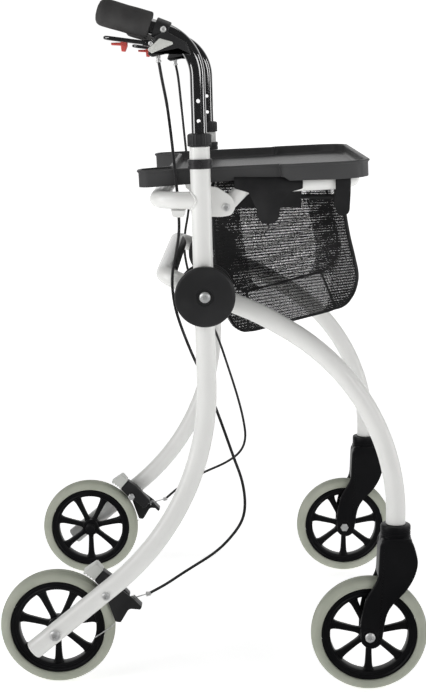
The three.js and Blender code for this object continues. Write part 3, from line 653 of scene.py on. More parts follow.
def wheel_rim(x, y):
    """Ring, hub and spokes of one rim about the axle at (x, y)."""
    shells = [turn(profile + profile[:1], (x, y, WHEEL_R), Y_AXIS, count)
              for profile, count in ((rim_profile, 96), (hub_profile, 36))]
    for k in range(SPOKES):
        angle = 2 * math.pi * k / SPOKES + math.pi / 2
        path = np.array((x, y, WHEEL_R)) + reach[:, None] * np.array((math.cos(angle), 0, -math.sin(angle)))
        shells.append(skin(sweep(path, spoke_section, Y_AXIS)))
    return shells


for name, side in SIDES:
    for end, x, y, body in (("rear", -AXLE_X, REAR_WHEEL_Y, f"{name}_rear_wheel"),
                            ("front", AXLE_X, FRONT_WHEEL_Y, f"{name}_front_wheel")):
        obj = piece(f"{name}_{end}_rim_moulded", mirror(wheel_rim(x, y), side), ebony)
        fit(obj, body, "black_plastic", f"{name}_{end}_rim")
        tread = turn(tyre_profile + tyre_profile[:1], (x, y, WHEEL_R), Y_AXIS, 120)
        obj = piece(f"{name}_{end}_tyre_solid", mirror([tread], side), rubber, crease=50)
        fit(obj, body, "tyre_rubber", f"{name}_{end}_tyre")

    shells = [
        bolt_head(7.5, 270.0, 4.6, -AXLE_X, WHEEL_R, 36),
        across([(0.01, 214.0), (4.0, 214.0), (4.0, 270.4), (0.01, 270.4)], -AXLE_X, WHEEL_R, 20),
        across([(4.4, 241.9), (7.2, 241.9), (7.4, 242.3), (7.4, 245.4), (4.4, 245.4), (4.4, 241.9)], -AXLE_X, WHEEL_R, 28),
    ]
    obj = piece(f"{name}_rear_axle_plated", mirror(shells, side), steel)
    fit(obj, "rear_frame", "steel", f"{name}_rear_axle")
    cap = across([(0.01, 211.0), (5.0, 211.3), (7.0, 212.6), (7.6, 214.6), (7.6, 217.6), (0.01, 217.6)],
                 -AXLE_X, WHEEL_R, 32)
    obj = piece(f"{name}_axle_cap", mirror([cap], side), ebony)
    fit(obj, "rear_frame", "black_plastic")


# ---- Caster forks ---------------------------------------------------------------------------------
# Each fork is one black moulding: a grooved collar under the leg, a crown that sweeps back behind the
# swivel, and two blades down to the axle. It turns on a stem that runs up inside the leg.

FORK_HALF = 21.0
SLOT_HALF = 14.5


def arc(x, z, radius, start, stop, count):
    """Points of an arc about (x, z), between two angles in degrees."""
    angle = np.radians(np.linspace(start, stop, count))
    return [tuple(point) for point in np.column_stack([x + radius * np.cos(angle), z + radius * np.sin(angle)])]


def smooth(points, count):
    """A closed loop through points, resampled evenly along Catmull-Rom spans."""
    p = np.asarray(points, float)
    t = np.linspace(0, len(p), count, endpoint=False)
    i = t.astype(int)
    f = (t - i)[:, None]
    a, b, c, d = (p[(i + k) % len(p)] for k in (-1, 0, 1, 2))
    return 0.5 * (2 * b + (c - a) * f + (2 * a - 5 * b + 4 * c - d) * f ** 2 + (3 * b - 3 * c + d - a) * f ** 3)


blade = smooth([*arc(207, 74, 14, -165, -15, 7), (225.6, 103), (234, 120), (250, 138), (260.3, 155.8), (264.8, 173.5),
                (262.6, 189), (256.4, 205), (246, 208.6), (229, 208.6), (217.6, 203), (215.2, 190), (213.4, 155),
                (199.4, 128), (193.2, 100), (193, 86)], 130)
crown = eased([*arc(205, 76, 80.2, 83.5, 54.5, 8), (260, 156), (264, 174), (262, 189), (255.6, 208), (218.4, 208),
               (215.2, 190)], [0.6] * 8 + [2, 8, 8, 4, 4, 8])
collar_rings = [(17.0, 0), (19.6, 1.2), (20.4, 5.0), (19.9, 9.0), (19.5, 10.6), (18.9, 11.1), (18.9, 12.3),
                (19.5, 12.8), (19.5, 16.0), (18.9, 16.5), (18.9, 17.7), (19.5, 18.2), (19.5, 23.2), (18.9, 24.6),
                (17.4, 25.4), (6.2, 25.4)]
for name, side in SIDES:
    shells = [
        biscuit(crown, FRONT_WHEEL_Y - FORK_HALF + 0.5, FRONT_WHEEL_Y + FORK_HALF - 0.5, 3.0),
        biscuit(blade, FRONT_WHEEL_Y + SLOT_HALF, FRONT_WHEEL_Y + FORK_HALF, 2.4),
        biscuit(blade, FRONT_WHEEL_Y - FORK_HALF, FRONT_WHEEL_Y - SLOT_HALF, 2.4),
        turn(collar_rings, (LEG_FOOT[0], FRONT_WHEEL_Y, 198.0), (0, 0, 1), 60),
        turn([(0.01, 0), (6, 0), (6, 38), (5, 39), (0.01, 39)], (LEG_FOOT[0], FRONT_WHEEL_Y, 222.0), (0, 0, 1), 24),
    ]
    for y0 in (FRONT_WHEEL_Y + FORK_HALF - 1.0, FRONT_WHEEL_Y - FORK_HALF - 0.5):
        shells.append(across([(4.4, y0), (10.2, y0), (10.6, y0 + 0.5), (10.6, y0 + 1.0), (10.2, y0 + 1.5),
                              (4.4, y0 + 1.5), (4.4, y0)], AXLE_X, WHEEL_R, 40))
    obj = piece(f"{name}_caster_fork_moulded", mirror(shells, side), ebony)
    fit(obj, f"{name}_caster", "black_plastic", f"{name}_caster_fork")

    shells = [
        bolt_head(6.5, FRONT_WHEEL_Y + FORK_HALF + 0.3, 3.0, AXLE_X, WHEEL_R, 32),
        nut(6.5, FRONT_WHEEL_Y - FORK_HALF - 3.6, FRONT_WHEEL_Y - FORK_HALF - 0.3, AXLE_X, WHEEL_R),
        across([(0.01, 225.0), (4, 225.0), (4, 271.6), (0.01, 271.6)], AXLE_X, WHEEL_R, 20),
    ]
    obj = piece(f"{name}_front_axle_plated", mirror(shells, side), steel)
    fit(obj, f"{name}_caster", "steel", f"{name}_front_axle")


# ---- Handles --------------------------------------------------------------------------------------
# Black gloss-coated tubes slide in the uprights and bend back to the hand. Two holes through each
# tube set the height. The grips are dark grey foam pushed over the tube's end.

HANDLE_R = 9.5
HANDLE_END = np.array((-136.0, SIDE_Y, 871.6))
GRIP_START = np.array((-76.0, SIDE_Y, 854.3))
HOLE_R = 2.6
HOLES = [upright_at(z) for z in (738.8, 763.4)]

gloss = Finish("gloss_black_coat", coat_weight=1.0, coat_roughness=0.04, coat_ior=2.2, specular_ior_level=0.8)
flow = gloss.noise(60.0, 2.0)
gloss.set(
    base_color=gloss.tone(12.0, (0.006, 0.006, 0.007), (0.010, 0.010, 0.011)),
    roughness=gloss.range(flow, 0.3, 0.7, 0.08, 0.14),
)
spot = gloss.place()
spot_x = gloss.node("ShaderNodeSeparateXYZ", None, {"Vector": spot}, 0)
spot_z = gloss.node("ShaderNodeSeparateXYZ", None, {"Vector": spot}, 2)
solid_part = None
for hole_x, hole_z in HOLES:
    off_x, off_z = spot_x - hole_x * MM, spot_z - hole_z * MM
    away = (off_x * off_x + off_z * off_z).math("SQRT").math("GREATER_THAN", HOLE_R * MM)
    solid_part = away if solid_part is None else solid_part * away
gloss.set(alpha=solid_part)

foam = Finish("grip_foam", specular_ior_level=0.25)
cells = foam.noise(1300.0, 4.0)
foam.set(
    base_color=foam.tone(30.0, (0.040, 0.039, 0.039), (0.058, 0.057, 0.056)),
    roughness=foam.range(cells, 0.3, 0.7, 0.72, 0.92),
    normal=foam.bump(cells, 0.45, 0.0005),
)

handle_path = bend([on_upright(590), on_upright(837.7), HANDLE_END], [60.0], 3.0)
grip_along = HANDLE_END - GRIP_START
grip_length = float(np.linalg.norm(grip_along))
grip_profile = [(10.0, 0), (14.8, 0), (16.4, 0.7), (17.0, 2.2), (17.0, 20.0), (16.7, 32.0), (17.0, 46.0),
                (17.0, grip_length - 6), (16.6, grip_length - 1.6), (15.0, grip_length + 1.6),
                (11.6, grip_length + 4.0), (7.0, grip_length + 5.2), (0.01, grip_length + 5.5)]
for name, side in SIDES:
    obj = piece(f"{name}_handle_tube_coated", mirror([pipe(handle_path, HANDLE_R, count=40)], side), gloss)
    fit(obj, f"{name}_handle", "black_paint", f"{name}_handle_tube")
    obj = piece(f"{name}_grip_foam", mirror([turn(grip_profile, GRIP_START, grip_along, 48)], side), foam)
    fit(obj, f"{name}_handle", "foam_grip", f"{name}_grip")


# ---- Brake levers ---------------------------------------------------------------------------------
# A moulded bracket is bolted under each handle's bend, with a pale cover on its flank. A black wire
# loop is the lever, a red catch on it locks the brake, and a plated adjuster takes the cable.

LEVER_PIVOT = (-75.0, 833.0)
CATCH_PIN = (-108.0, 836.0)

pale = Finish("pale_grey_plastic", specular_ior_level=0.5)
mould = pale.noise(1200.0, 2.0)
pale.set(
    base_color=pale.tone(18.0, (0.56, 0.57, 0.54), (0.62, 0.63, 0.60)),
    roughness=pale.range(mould, 0.3, 0.7, 0.34, 0.48),
    normal=pale.bump(mould, 0.15, 0.0002),
)
red = Finish("red_plastic", specular_ior_level=0.5)
tint = red.noise(1200.0, 2.0)
red.set(
    base_color=red.tone(25.0, (0.50, 0.060, 0.050), (0.60, 0.085, 0.070)),
    roughness=red.range(tint, 0.3, 0.7, 0.34, 0.5),
    normal=red.bump(tint, 0.15, 0.0002),
)

housing_outline = eased([(-79, 820), (-74, 816.8), (-55, 821), (-42, 825), (-24, 816.5), (-31, 834), (-58, 849), (-70, 842)],
                        [2, 1.5, 2, 3, 2, 4, 4, 3])
cover_outline = eased([(-79.4, 825.7), (-64, 839.2), (-43.6, 833.6), (-73.9, 820.9)], [2, 3, 2, 2])
loop_path = bend([(-84, SIDE_Y - 14, 834), (-131, SIDE_Y - 14, 840), (-131, SIDE_Y + 14, 840), (-84, SIDE_Y + 14, 834)],
                 [8, 8], 8)
shank_outline = eased([(-86, 831), (-74, 828.5), (-69.5, 833), (-75, 838), (-86, 836.8)], [1.5, 2, 2, 2, 1.5])
catch_outline = eased([(-112, 839.4), (-112, 834.4), (-124, 834.0), (-124, 831), (-112, 830.4), (-111.4, 823.4),
                       (-106.6, 823), (-104, 830), (-104, 839.4)], [1.5, 1, 0.8, 1.2, 1, 1.5, 1.5, 1.5, 1.5])
CABLE_START = np.array((-66.0, SIDE_Y, 812.0))
for name, side in SIDES:
    shells = [
        biscuit(housing_outline, SIDE_Y - 13.4, SIDE_Y + 13.4, 2.4),
        turn([(9.6, -9), (12.2, -9), (12.8, -8.2), (12.8, 8.2), (12.2, 9), (9.6, 9), (9.6, -9)],
             (-62.5, SIDE_Y, 849.6), (-0.93, 0, 0.36), 40),
    ]
    obj = piece(f"{name}_brake_bracket_moulded", mirror(shells, side), black)
    fit(obj, f"{name}_handle", "black_plastic", f"{name}_brake_housing")

    obj = piece(f"{name}_brake_cover", mirror([biscuit(cover_outline, SIDE_Y + 12.4, SIDE_Y + 14.6, 0.9)], side), pale)
    fit(obj, f"{name}_handle", "grey_plastic")

    shells = [
        bolt_head(3.8, SIDE_Y + 12.6, 2.4, -59.5, 849.8, 24),
        nut(3.6, SIDE_Y - 15.4, SIDE_Y - 12.6, -59.5, 849.8),
        bolt_head(2.9, SIDE_Y + 14.4, 1.6, *LEVER_PIVOT, 20),
        turn([(0.01, 0), (3.4, 0), (3.4, 2.2), (2.5, 2.6), (2.5, 5.0), (2.9, 5.4), (2.9, 8.6), (0.01, 8.6)],
             CABLE_START + (0.1, 0, -1.6), (-0.09, 0, 1), 18),
    ]
    obj = piece(f"{name}_brake_fixings", mirror(shells, side), steel)
    fit(obj, f"{name}_handle", "steel")

    shells = [
        skin(sweep(loop_path, circle(2.6, 16), (0, 0, 1))),
        pipe([(-83.5, SIDE_Y - 14, 834), (-83.5, SIDE_Y + 14, 834)], 2.6, (0, 0, 1), 16, 0.4),
        biscuit(shank_outline, SIDE_Y - 6, SIDE_Y + 6, 1.2),
        pipe([(*CATCH_PIN[:1], SIDE_Y - 14, CATCH_PIN[1]), (*CATCH_PIN[:1], SIDE_Y + 14, CATCH_PIN[1])], 1.6, (0, 0, 1), 12, 0.3),
    ]
    obj = piece(f"{name}_lever_loop", mirror(shells, side), gloss)
    fit(obj, f"{name}_lever", "black_paint", f"{name}_brake_lever")

    obj = piece(f"{name}_parking_catch_moulded", mirror([biscuit(catch_outline, SIDE_Y - 5, SIDE_Y + 5, 1.2)], side), red)
    fit(obj, f"{name}_catch", "red_plastic", f"{name}_parking_catch")


# ---- Tyre brakes ----------------------------------------------------------------------------------
# A black bracket and a plated pin on each rear leg carry a black arm with a pale toothed shoe. The
# cable pulls the arm's lower end, so the shoe presses the tyre; a coil spring lifts it off again.

BRAKE_PIN = np.array((-138.0, 129.5))
pin_x, pin_z = BRAKE_PIN
arm_outline = eased(BRAKE_PIN + [(30, -10), (7.5, 13.8), (-6, 24), (-17.7, 10), (-8.3, -0.4), (11.3, -14.3), (20.3, -23)],
                    [4, 4, 2, 2, 4, 4, 4])
TEETH = 4
tooth = np.linspace(0, 1, 2 * TEETH + 1)[1:-1, None]
shoe_face = np.array((-18.6, 10.7)) + np.array((-13.8, 9.7)) * tooth
shoe_face += np.array((0.6, 0.8)) * np.where(np.arange(2 * TEETH - 1) % 2, 2.2, 0.2)[:, None]
shoe_outline = BRAKE_PIN + np.vstack([[(-32.2, 21.2), (-30.6, 23.4), (-16, 33.4), (-13.6, 33.2), (-6.4, 24.6), (-17.6, 11.2)], shoe_face])
strap_outline = eased([*[tuple(point) for point in arc(pin_x, pin_z, 8, 100, 250, 6)],
                       *[tuple(BRAKE_PIN + point) for point in ((10, -44), (17, -45), (28, -26), (42.6, -27.2), (45, -24),
                                                                (33.5, -12), (8, 8))]], [1] * 6 + [3, 3, 6, 1, 1, 3, 2])
stop_outline = eased(BRAKE_PIN + [(31, -16), (42.6, -27.2), (45, -24), (33.5, -12)], [1, 1, 1, 1])
WIRE_END = np.array((pin_x + 25.0, 233.0, pin_z - 17.0))
CABLE_END = np.array((-84.5, 233.0, 121.0))
tail = np.array([(9.3, -46.6), (2, -53), (-8, -60), (-17, -66.2)]) + BRAKE_PIN
wind = np.linspace(0, 1, 150)[:, None]
coil_start, coil_end = WIRE_END + (3.5, 0, 1.1), WIRE_END + (9.5, 0, 2.9)
coil_turn = 2 * math.pi * 4 * wind
coil_path = coil_start + (coil_end - coil_start) * wind + 3.1 * np.hstack([0 * wind, np.cos(coil_turn), np.sin(coil_turn)])
for name, side in SIDES:
    obj = piece(f"{name}_brake_arm_moulded", mirror([biscuit(arm_outline, 222, 238, 2.0)], side), black)
    fit(obj, f"{name}_brake", "black_plastic", f"{name}_brake_arm")
    obj = piece(f"{name}_brake_shoe_moulded", mirror([biscuit(shoe_outline, 220, 240, 1.0)], side), pale)
    fit(obj, f"{name}_brake", "grey_plastic", f"{name}_brake_shoe")

    shells = [biscuit(strap_outline, 240.6, 243.9, 0.9), biscuit(stop_outline, 224, 242, 1.4)]
    obj = piece(f"{name}_brake_strap", mirror(shells, side), black)
    fit(obj, "rear_frame", "black_plastic", f"{name}_brake_bracket")

    shells = [
        bolt_head(5.5, 270.0, 3.4, pin_x, pin_z, 32),
        nut(5.5, 209, 213, pin_x, pin_z),
        across([(0.01, 207.6), (3, 207.6), (3, 270.4), (0.01, 270.4)], pin_x, pin_z, 16),
        across([(3.2, 238.4), (5.6, 238.4), (5.6, 240.5), (3.2, 240.5), (3.2, 238.4)], pin_x, pin_z, 24),
        pipe([CABLE_END + (-2, 0, -0.4), WIRE_END], 0.8, count=10, lip=0.2),
        skin(sweep(coil_path, circle(0.55, 8), (1, 0, 0))),
        pipe(in_plane(tail, 242.2), 0.8, count=10, lip=0.2),
        turn([(0.01, 0), (2.8, 0), (2.8, 3.4), (3.3, 3.6), (3.3, 6.4), (0.01, 6.4)], CABLE_END + (3.0, 0, 0.4), (-1, 0, -0.16), 16),
    ]
    obj = piece(f"{name}_brake_fittings", mirror(shells, side), steel)
    fit(obj, "rear_frame", "steel", f"{name}_brake_pin")


# ---- Brake cables ---------------------------------------------------------------------------------
# Black-sheathed cables bow out behind the uprights, pass through the clips on the upper bow and run
# down inside the folding legs to the tyre brakes. They ride on no body, so they stay where they are drawn.

sheath = Finish("cable_sheath", specular_ior_level=0.5)
skin_noise = sheath.noise(800.0, 2.0)
sheath.set(
    base_color=sheath.tone(20.0, (0.011, 0.011, 0.012), (0.022, 0.022, 0.023)),
    roughness=sheath.range(skin_noise, 0.3, 0.7, 0.30, 0.45),
    normal=sheath.bump(skin_noise, 0.1, 0.0002),
)

CABLE_ROUTES = {
    "right": [(-66, 257, 812), (-62, 259, 790), (-56, 256, 758), (-51, 247, 716), (-48, 241.5, 685),
              (-45, 240.5, 655), (-43, 240.5, 630), (-42.5, 241, 600), (-46, 244, 574), (-50.5, 246, 548),
              (-50, 246, 522), (-44, 244, 492), (-28, 241, 448), (-8, 240.5, 404), (8, 238, 362),
              (26, 234, 310), (38, 233, 275), (42, 234, 245), (38, 235, 222), (24, 235, 200),
              (2, 235, 178), (-36, 234, 152), (-62, 233, 134), (-84.5, 233, 121)],
    "left": [(-66, 257, 812), (-62, 259, 790), (-57, 256, 745), (-52, 246, 700), (-48, 240.5, 665),
             (-44, 240.5, 635), (-43, 240.5, 615), (-47, 243, 580), (-52, 246, 548), (-52, 246, 515),
             (-42, 243, 475), (-20, 240.5, 430), (0, 239, 385), (14, 237, 345), (31, 234, 292),
             (41, 233, 252), (44, 234, 222), (36, 235, 200), (14, 235, 182), (-28, 234, 162),
             (-60, 233, 142), (-84.5, 233, 121)],
}


def through(points, count):
    """An open curve through points, in Catmull-Rom spans."""
    p = np.asarray(points, float)
    p = np.concatenate([2 * p[:1] - p[1:2], p, 2 * p[-1:] - p[-2:-1]])
    t = np.linspace(0, len(p) - 3 - 1e-9, count)
    i = t.astype(int)
    f = (t - i)[:, None]
    a, b, c, d = (p[i + k] for k in range(4))
    return 0.5 * (2 * b + (c - a) * f + (2 * a - 5 * b + 4 * c - d) * f ** 2 + (3 * b - 3 * c + d - a) * f ** 3)


for name, side in SIDES:
    route = through(CABLE_ROUTES[name], 260)
    obj = piece(f"{name}_cable", mirror([pipe(route, 1.9, count=12, lip=0.3)], side), sheath)
    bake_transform(obj)
    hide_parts(f"{name}_brake_cable")


# ---- Basket rail ----------------------------------------------------------------------------------
# A U of white tube bolted to the lugs at its ends. It rises to lie just under the tray and carries
# the bag.

RAIL_R = 9.5
RAIL_Y = 232.0
RAIL_LEVEL = 655.2
TRAY_TILT = 0.049


def rail_point(x, side=1):
    """A point of the rail's axis where it lies under the tray."""
    return np.array((x, side * RAIL_Y, RAIL_LEVEL + TRAY_TILT * x))


rail_end = np.array((RAIL_PIN[0], RAIL_Y, RAIL_PIN[1]))
half_rail = [rail_end, rail_point(41), rail_point(178)]
rail_path = bend([point * flip for point in half_rail] + half_rail[::-1], [18, 45, 45, 18], 5)
shells = [pipe(rail_path, RAIL_R, (0, 0, 1), 32)]
eye = across([(3.4, 222.5), (8.9, 222.5), (9.6, 223.2), (9.6, 240.8), (8.9, 241.5), (3.4, 241.5), (3.4, 222.5)], *RAIL_PIN, 40)
shells += mirror([eye], 1) + mirror([eye], -1)
rail = piece("basket_rail_coated", shells, white)
fit(rail, "rear_frame", "white_paint", "basket_rail")

for name, side in SIDES:
    shells = [
        bolt_head(5.0, 250.2, 3.2, *RAIL_PIN, 28),
        nut(5.4, 218.6, 222.2, *RAIL_PIN),
        across([(0.01, 217.6), (3, 217.6), (3, 250.6), (0.01, 250.6)], *RAIL_PIN, 16),
        across([(3.2, 242.0), (6.4, 242.0), (6.4, 244.7), (3.2, 244.7), (3.2, 242.0)], *RAIL_PIN, 28),
    ]
    obj = piece(f"{name}_rail_bolt_plated", mirror(shells, side), steel)
    fit(obj, "rear_frame", "steel", f"{name}_rail_bolt")


# ---- Tray -----------------------------------------------------------------------------------------
# One dark grey moulding with a rolled rim and a fine grained floor. Two ears reach back inside the
# uprights and it lies on the basket rail, tilted up a little to the front.

TRAY_SLOPE = math.atan(TRAY_TILT)
TRAY_DATUM = 665.0

tray_plastic = Finish("tray_plastic", specular_ior_level=0.08)
stipple = tray_plastic.noise(2000.0, 2.0)
tray_plastic.set(
    base_color=tray_plastic.tone(10.0, (0.056, 0.056, 0.057), (0.072, 0.072, 0.073)),
    roughness=tray_plastic.range(stipple, 0.3, 0.7, 0.30, 0.42),
    normal=tray_plastic.bump(stipple, 0.25, 0.0003),
)


def inset(outline, amount):
    """The outline drawn in by an amount along its own normals."""
    ahead = np.roll(outline, -1, axis=0) - np.roll(outline, 1, axis=0)
    normal = np.column_stack([ahead[:, 1], -ahead[:, 0]]) / np.linalg.norm(ahead, axis=1)[:, None]
    area = np.sum(outline[:, 0] * np.roll(outline[:, 1], -1) - outline[:, 1] * np.roll(outline[:, 0], -1))
    return outline - normal * amount * math.copysign(1.0, area)


tray_half = [(-55, 168), (-63, 176), (-82, 188), (-94, 198), (-94, 226), (-84, 236), (86, 236), (86, 250),
             (160, 250), (186, 238), (198, 212)]
tray_corners = tray_half + [(x, -y) for x, y in reversed(tray_half)]
corner_radii = [22, 8, 12, 12, 12, 10, 3, 10.5, 30, 26, 26]
tray_outline = eased(tray_corners, corner_radii + corner_radii[::-1], 12)
tray_rings = [(9.0, 665.0), (3.0, 665.0), (2.4, 664.4), (2.4, 659.9), (2.0, 659.5), (0.4, 659.5), (0.0, 659.9), (0.0, 676.5),
              (-0.5, 678.0), (-1.6, 678.6), (-2.0, 679.4), (-1.9, 680.6), (-1.2, 681.3), (0.2, 681.5), (2.2, 681.3), (3.0, 680.4),
              (3.2, 678.0), (3.5, 672.0), (4.2, 669.8), (5.6, 668.5), (7.6, 668.0), (9.0, 668.0)]
levels = []
for amount, height in tray_rings:
    ring = inset(tray_outline, amount)
    z = np.full(len(ring), height)
    if height < TRAY_DATUM:
        along_rail = np.clip((ring[:, 0] + 46) / 8, 0, 1) * np.clip((98 - ring[:, 0]) / 8, 0, 1)
        z = z + (TRAY_DATUM + 0.01 - z) * along_rail
    levels.append(np.column_stack([ring, z]))
tray_points, tray_quads, tray_ends = skin(np.stack(levels))
lift = tray_points[:, 2] - TRAY_DATUM
tray_points = np.column_stack([
    tray_points[:, 0] * math.cos(TRAY_SLOPE) - lift * math.sin(TRAY_SLOPE),
    tray_points[:, 1],
    TRAY_DATUM + tray_points[:, 0] * math.sin(TRAY_SLOPE) + lift * math.cos(TRAY_SLOPE),
])
tray = piece("tray_moulded", [(tray_points, tray_quads, tray_ends)], tray_plastic, crease=40)
fit(tray, "tray", "tray_plastic", "tray")


# ---- Basket ---------------------------------------------------------------------------------------
# A bag of open black polyester mesh that sags between its seams. Its edges are bound with woven tape,
# and tape tongues folded over the rail hold it up.

BAG_HALF = 202.0
REAR_EDGE = np.array([(-4, 642), (-3, 600), (0, 560), (6, 522), (14, 492), (24, 473), (35, 465.5), (46, 465.2)], float)
FRONT_EDGE = np.array([(168, 642), (177, 595), (185, 563), (189.5, 540), (187, 522), (181, 509), (172, 500.5), (160, 495.6)], float)


def along(points, share):
    """Points at shares of the whole length of a smooth line through the given ones."""
    fine = through(points, 400)
    reach = np.concatenate([[0], np.cumsum(np.linalg.norm(np.diff(fine, axis=0), axis=1))])
    return np.stack([np.interp(np.asarray(share) * reach[-1], reach, fine[:, k]) for k in range(fine.shape[1])], axis=-1)


def bag_ring(rear, front, half, radius, sag, count=(34, 68)):
    """A level of the bag: a rounded rectangle between its rear and front points, with each side bowed
    in by sag * sin(pi * s) along it."""
    length = float(np.linalg.norm(front - rear))
    ahead = (front - rear) / length
    short, long = np.linspace(0, 1, count[0], endpoint=False), np.linspace(0, 1, count[1], endpoint=False)
    s = np.concatenate([short, np.ones(count[1]), 1 - short, np.zeros(count[1])])
    t = np.concatenate([np.zeros(count[0]), long, np.ones(count[0]), 1 - long])
    a, y = s * length, (2 * t - 1) * half
    from_corner_a, from_corner_y = np.minimum(a, length - a), half - np.abs(y)
    near = (from_corner_a < radius) & (from_corner_y < radius)
    pull_a, pull_y = radius - from_corner_a, radius - from_corner_y
    reach = np.maximum(np.hypot(pull_a, pull_y), 1e-9)
    a = np.where(near, a + np.where(s < 0.5, 1, -1) * pull_a * (1 - radius / reach), a)
    y = np.where(near, y - np.sign(y) * pull_y * (1 - radius / reach), y)
    side_bow = sag * np.sin(math.pi * np.clip(a / length, 0, 1)) * (np.abs(y) > half - 1)
    end_bow = sag * 0.6 * np.sin(math.pi * np.clip((y + half) / (2 * half), 0, 1)) * ((s < 0.02) | (s > 0.98))
    y = y - np.sign(y) * side_bow
    a = a + np.where(s < 0.5, 1, -1) * end_bow
    return np.column_stack([rear[0] + ahead[0] * a, y, rear[1] + ahead[1] * a])


def cloth(name, grid, uv, finish):
    """A single sheet from a grid of points (rows, columns, 3) in millimetres, with a UV for each."""
    rows, columns = grid.shape[:2]
    index = np.arange(rows * columns).reshape(rows, columns)
    quads = np.stack([index[:-1, :-1], index[:-1, 1:], index[1:, 1:], index[1:, :-1]], axis=-1).reshape(-1, 4)
    mesh = bpy.data.meshes.new(name)
    mesh.from_pydata(grid.reshape(-1, 3) * MM, [], quads.tolist())
    mesh.polygons.foreach_set("use_smooth", np.ones(len(quads), bool))
    layer = mesh.uv_layers.new(name="cloth")
    layer.data.foreach_set("uv", uv.reshape(-1, 2)[quads.reshape(-1)].astype(np.float32).reshape(-1))
    mesh.materials.append(finish.data)
    obj = bpy.data.objects.new(name, mesh)
    bpy.context.scene.collection.objects.link(obj)
    return obj


MESH_PITCH = 3.6

def mesh_finish(name, close):
    """Black knitted mesh: rows every MESH_PITCH and finer columns leave holes. close narrows them."""
    made = Finish(name, roughness=0.75, specular_ior_level=0.3)
    weave = made.place("UV")
    weave_u = made.node("ShaderNodeSeparateXYZ", None, {"Vector": weave}, 0)
    weave_v = made.node("ShaderNodeSeparateXYZ", None, {"Vector": weave}, 1)
    rows = (weave_v * (2 * math.pi / MESH_PITCH)).math("COSINE")
    drift = made.noise(0.12, 2.0, weave) * 9.0
    holes = rows * 0.6 + ((weave_u + drift) * (2 * math.pi / 1.1)).math("COSINE")
    made.set(
        base_color=made.tone(14.0, (0.010, 0.010, 0.011), (0.022, 0.022, 0.023)),
        alpha=made.range(holes, close - 0.1, close + 0.1, 1.0, 0.0),
        normal=made.bump(holes, 0.5, 0.0004),
    )
    return made


net = mesh_finish("mesh_fabric", 0.42)
dense_net = mesh_finish("mesh_fabric_dense", 0.8)
tape = Finish("binding_tape", specular_ior_level=0.3)
rib = tape.noise(1600.0, 3.0)
tape.set(
    base_color=tape.tone(20.0, (0.012, 0.012, 0.013), (0.026, 0.026, 0.027)),
    roughness=tape.range(rib, 0.3, 0.7, 0.6, 0.8),
    normal=tape.bump(rib, 0.4, 0.0004),
)

share = np.linspace(0, 1, 44)
rears, fronts = along(REAR_EDGE, share), along(FRONT_EDGE, share)
halves = BAG_HALF - 1.0 - 9.0 * np.clip((share - 0.86) / 0.14, 0, 1) ** 2
sags = 7.0 * np.sin(math.pi * np.clip(share / 0.92, 0, 1)) ** 1.2
wall = np.stack([bag_ring(r, f, h, 14.0, g) for r, f, h, g in zip(rears, fronts, halves, sags)])
wall = np.concatenate([wall, wall[:, :1]], axis=1)
around = np.concatenate([[0], np.cumsum(np.linalg.norm(np.diff(wall[0], axis=0), axis=1))])
down = np.concatenate([[0], np.cumsum(np.linalg.norm(np.diff(wall[:, 60], axis=0), axis=1))])
wall_uv = np.stack(np.broadcast_arrays(around[None, :], down[:, None]), axis=-1)
bag_wall = cloth("bag_wall", wall, wall_uv, net)
fit(bag_wall, "rear_frame", "mesh_fabric", "basket")

hem = wall[-1]
centre = hem[:-1].mean(axis=0)
shrink = np.linspace(1, 0.02, 24)[:, None, None]
bottom = centre + (hem - centre) * shrink
bottom[..., 2] -= 5.0 * (1 - shrink[..., 0] ** 2)
bag_bottom = cloth("bag_bottom", bottom, bottom[..., :2].copy(), net)
fit(bag_bottom, "rear_frame", "mesh_fabric")


for name, first, last in (("front", 27, 43), ("rear", 0, 7)):
    columns = np.arange(first, last + 1)
    for side_name, side in SIDES:
        panel_uv = wall_uv[:, columns]
        panel_grid = wall[:, columns] * 0.992 + wall[:, columns].mean(axis=(0, 1)) * 0.008
        panel = cloth(f"{side_name}_bag_{name}_panel", panel_grid * (1, -side, 1), panel_uv, dense_net)
        fit(panel, "rear_frame", "mesh_fabric")


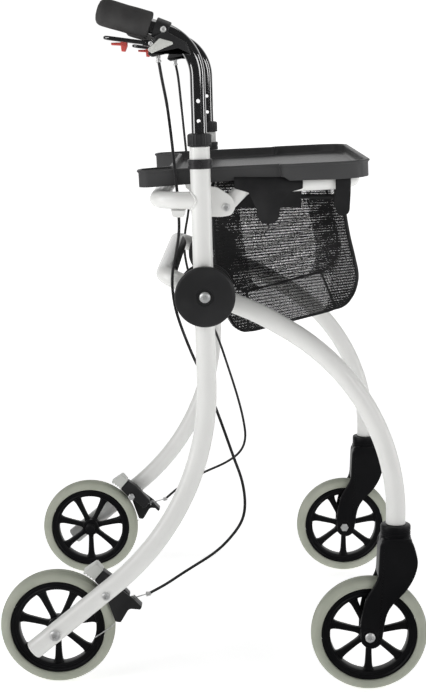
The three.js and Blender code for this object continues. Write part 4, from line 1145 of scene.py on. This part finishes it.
def ribbon(path, width, thick, hint, rounded=False):
    """A band of tape along a path, lying flat across the hint, of one width or one for each station. A
    rounded one ends round: half width = sqrt(r^2 - (distance left - r)^2) over its last r."""
    path = np.asarray(path, float)
    half = np.broadcast_to(np.asarray(width, float) / 2, len(path)).copy()
    if rounded:
        tip = half[-1]
        left = np.concatenate([np.cumsum(np.linalg.norm(np.diff(path[::-1], axis=0), axis=1))[::-1], [0]])
        over = np.clip(tip - left, 0, tip)
        half = np.minimum(half, np.where(over > 0, np.sqrt(np.maximum(tip ** 2 - over ** 2, 0.6)), half))
    section = np.array([(-0.5, -0.94), (-0.3, -1), (0.3, -1), (0.5, -0.94), (0.5, 0.94), (0.3, 1), (-0.3, 1), (-0.5, 0.94)])
    sections = section * np.stack([np.full(len(path), thick), half], axis=-1)[:, None, :]
    return skin(sweep(path, sections, hint))


shells = []
for row in (0, 43):
    shells.append(skin(sweep(wall[row][:-1], circle(1.9 if row else 2.4, 10), (0, 0, 1), loop=True), loop=True))
corner_columns = [0, 34, 34 + 68, 34 + 68 + 34]
for column in corner_columns:
    shells.append(pipe(wall[:, column], 1.7, (0, 1, 0), 10, 0.2))
shells.append(skin(sweep(wall[0][:-1], circle(1.0, 12) * (0.9, 3.2), (0, 0, 1), loop=True), loop=True))
obj = piece("bag_binding", shells, tape)
fit(obj, "rear_frame", "mesh_fabric")

TONGUES = ((70.0, (29, 50, 86), 610.0), (163.5, (17, 19, 19), 621.0))
for name, side in SIDES:
    shells = []
    for x, widths, low in TONGUES:
        rail_x, rail_y, rail_z = rail_point(x)
        wrap = np.radians(np.linspace(150, 0, 16))
        over = np.column_stack([np.full(16, x), rail_y + 10.4 * np.cos(wrap), rail_z + 10.4 * np.sin(wrap)])
        inside = np.array([(x, BAG_HALF - 1.5, 628), (x, BAG_HALF + 1, 640), (x, BAG_HALF + 8, 651)], float)
        drop = np.linspace(rail_z - 3, low, 40)
        outside = np.column_stack([np.full(len(drop), x), rail_y + 10.4 + 0.9 * np.sin(np.linspace(0, 3, len(drop))), drop])
        path = np.concatenate([inside, over, outside])
        width = np.where(np.arange(len(path)) < 19, widths[2], np.interp(path[:, 2], (628, 650, 655), widths))
        shells.append(ribbon(path, width, 1.3, (1, 0, 0), rounded=True))
    obj = piece(f"{name}_bag_tongues", mirror(shells, side), tape)
    fit(obj, "rear_frame", "mesh_fabric")
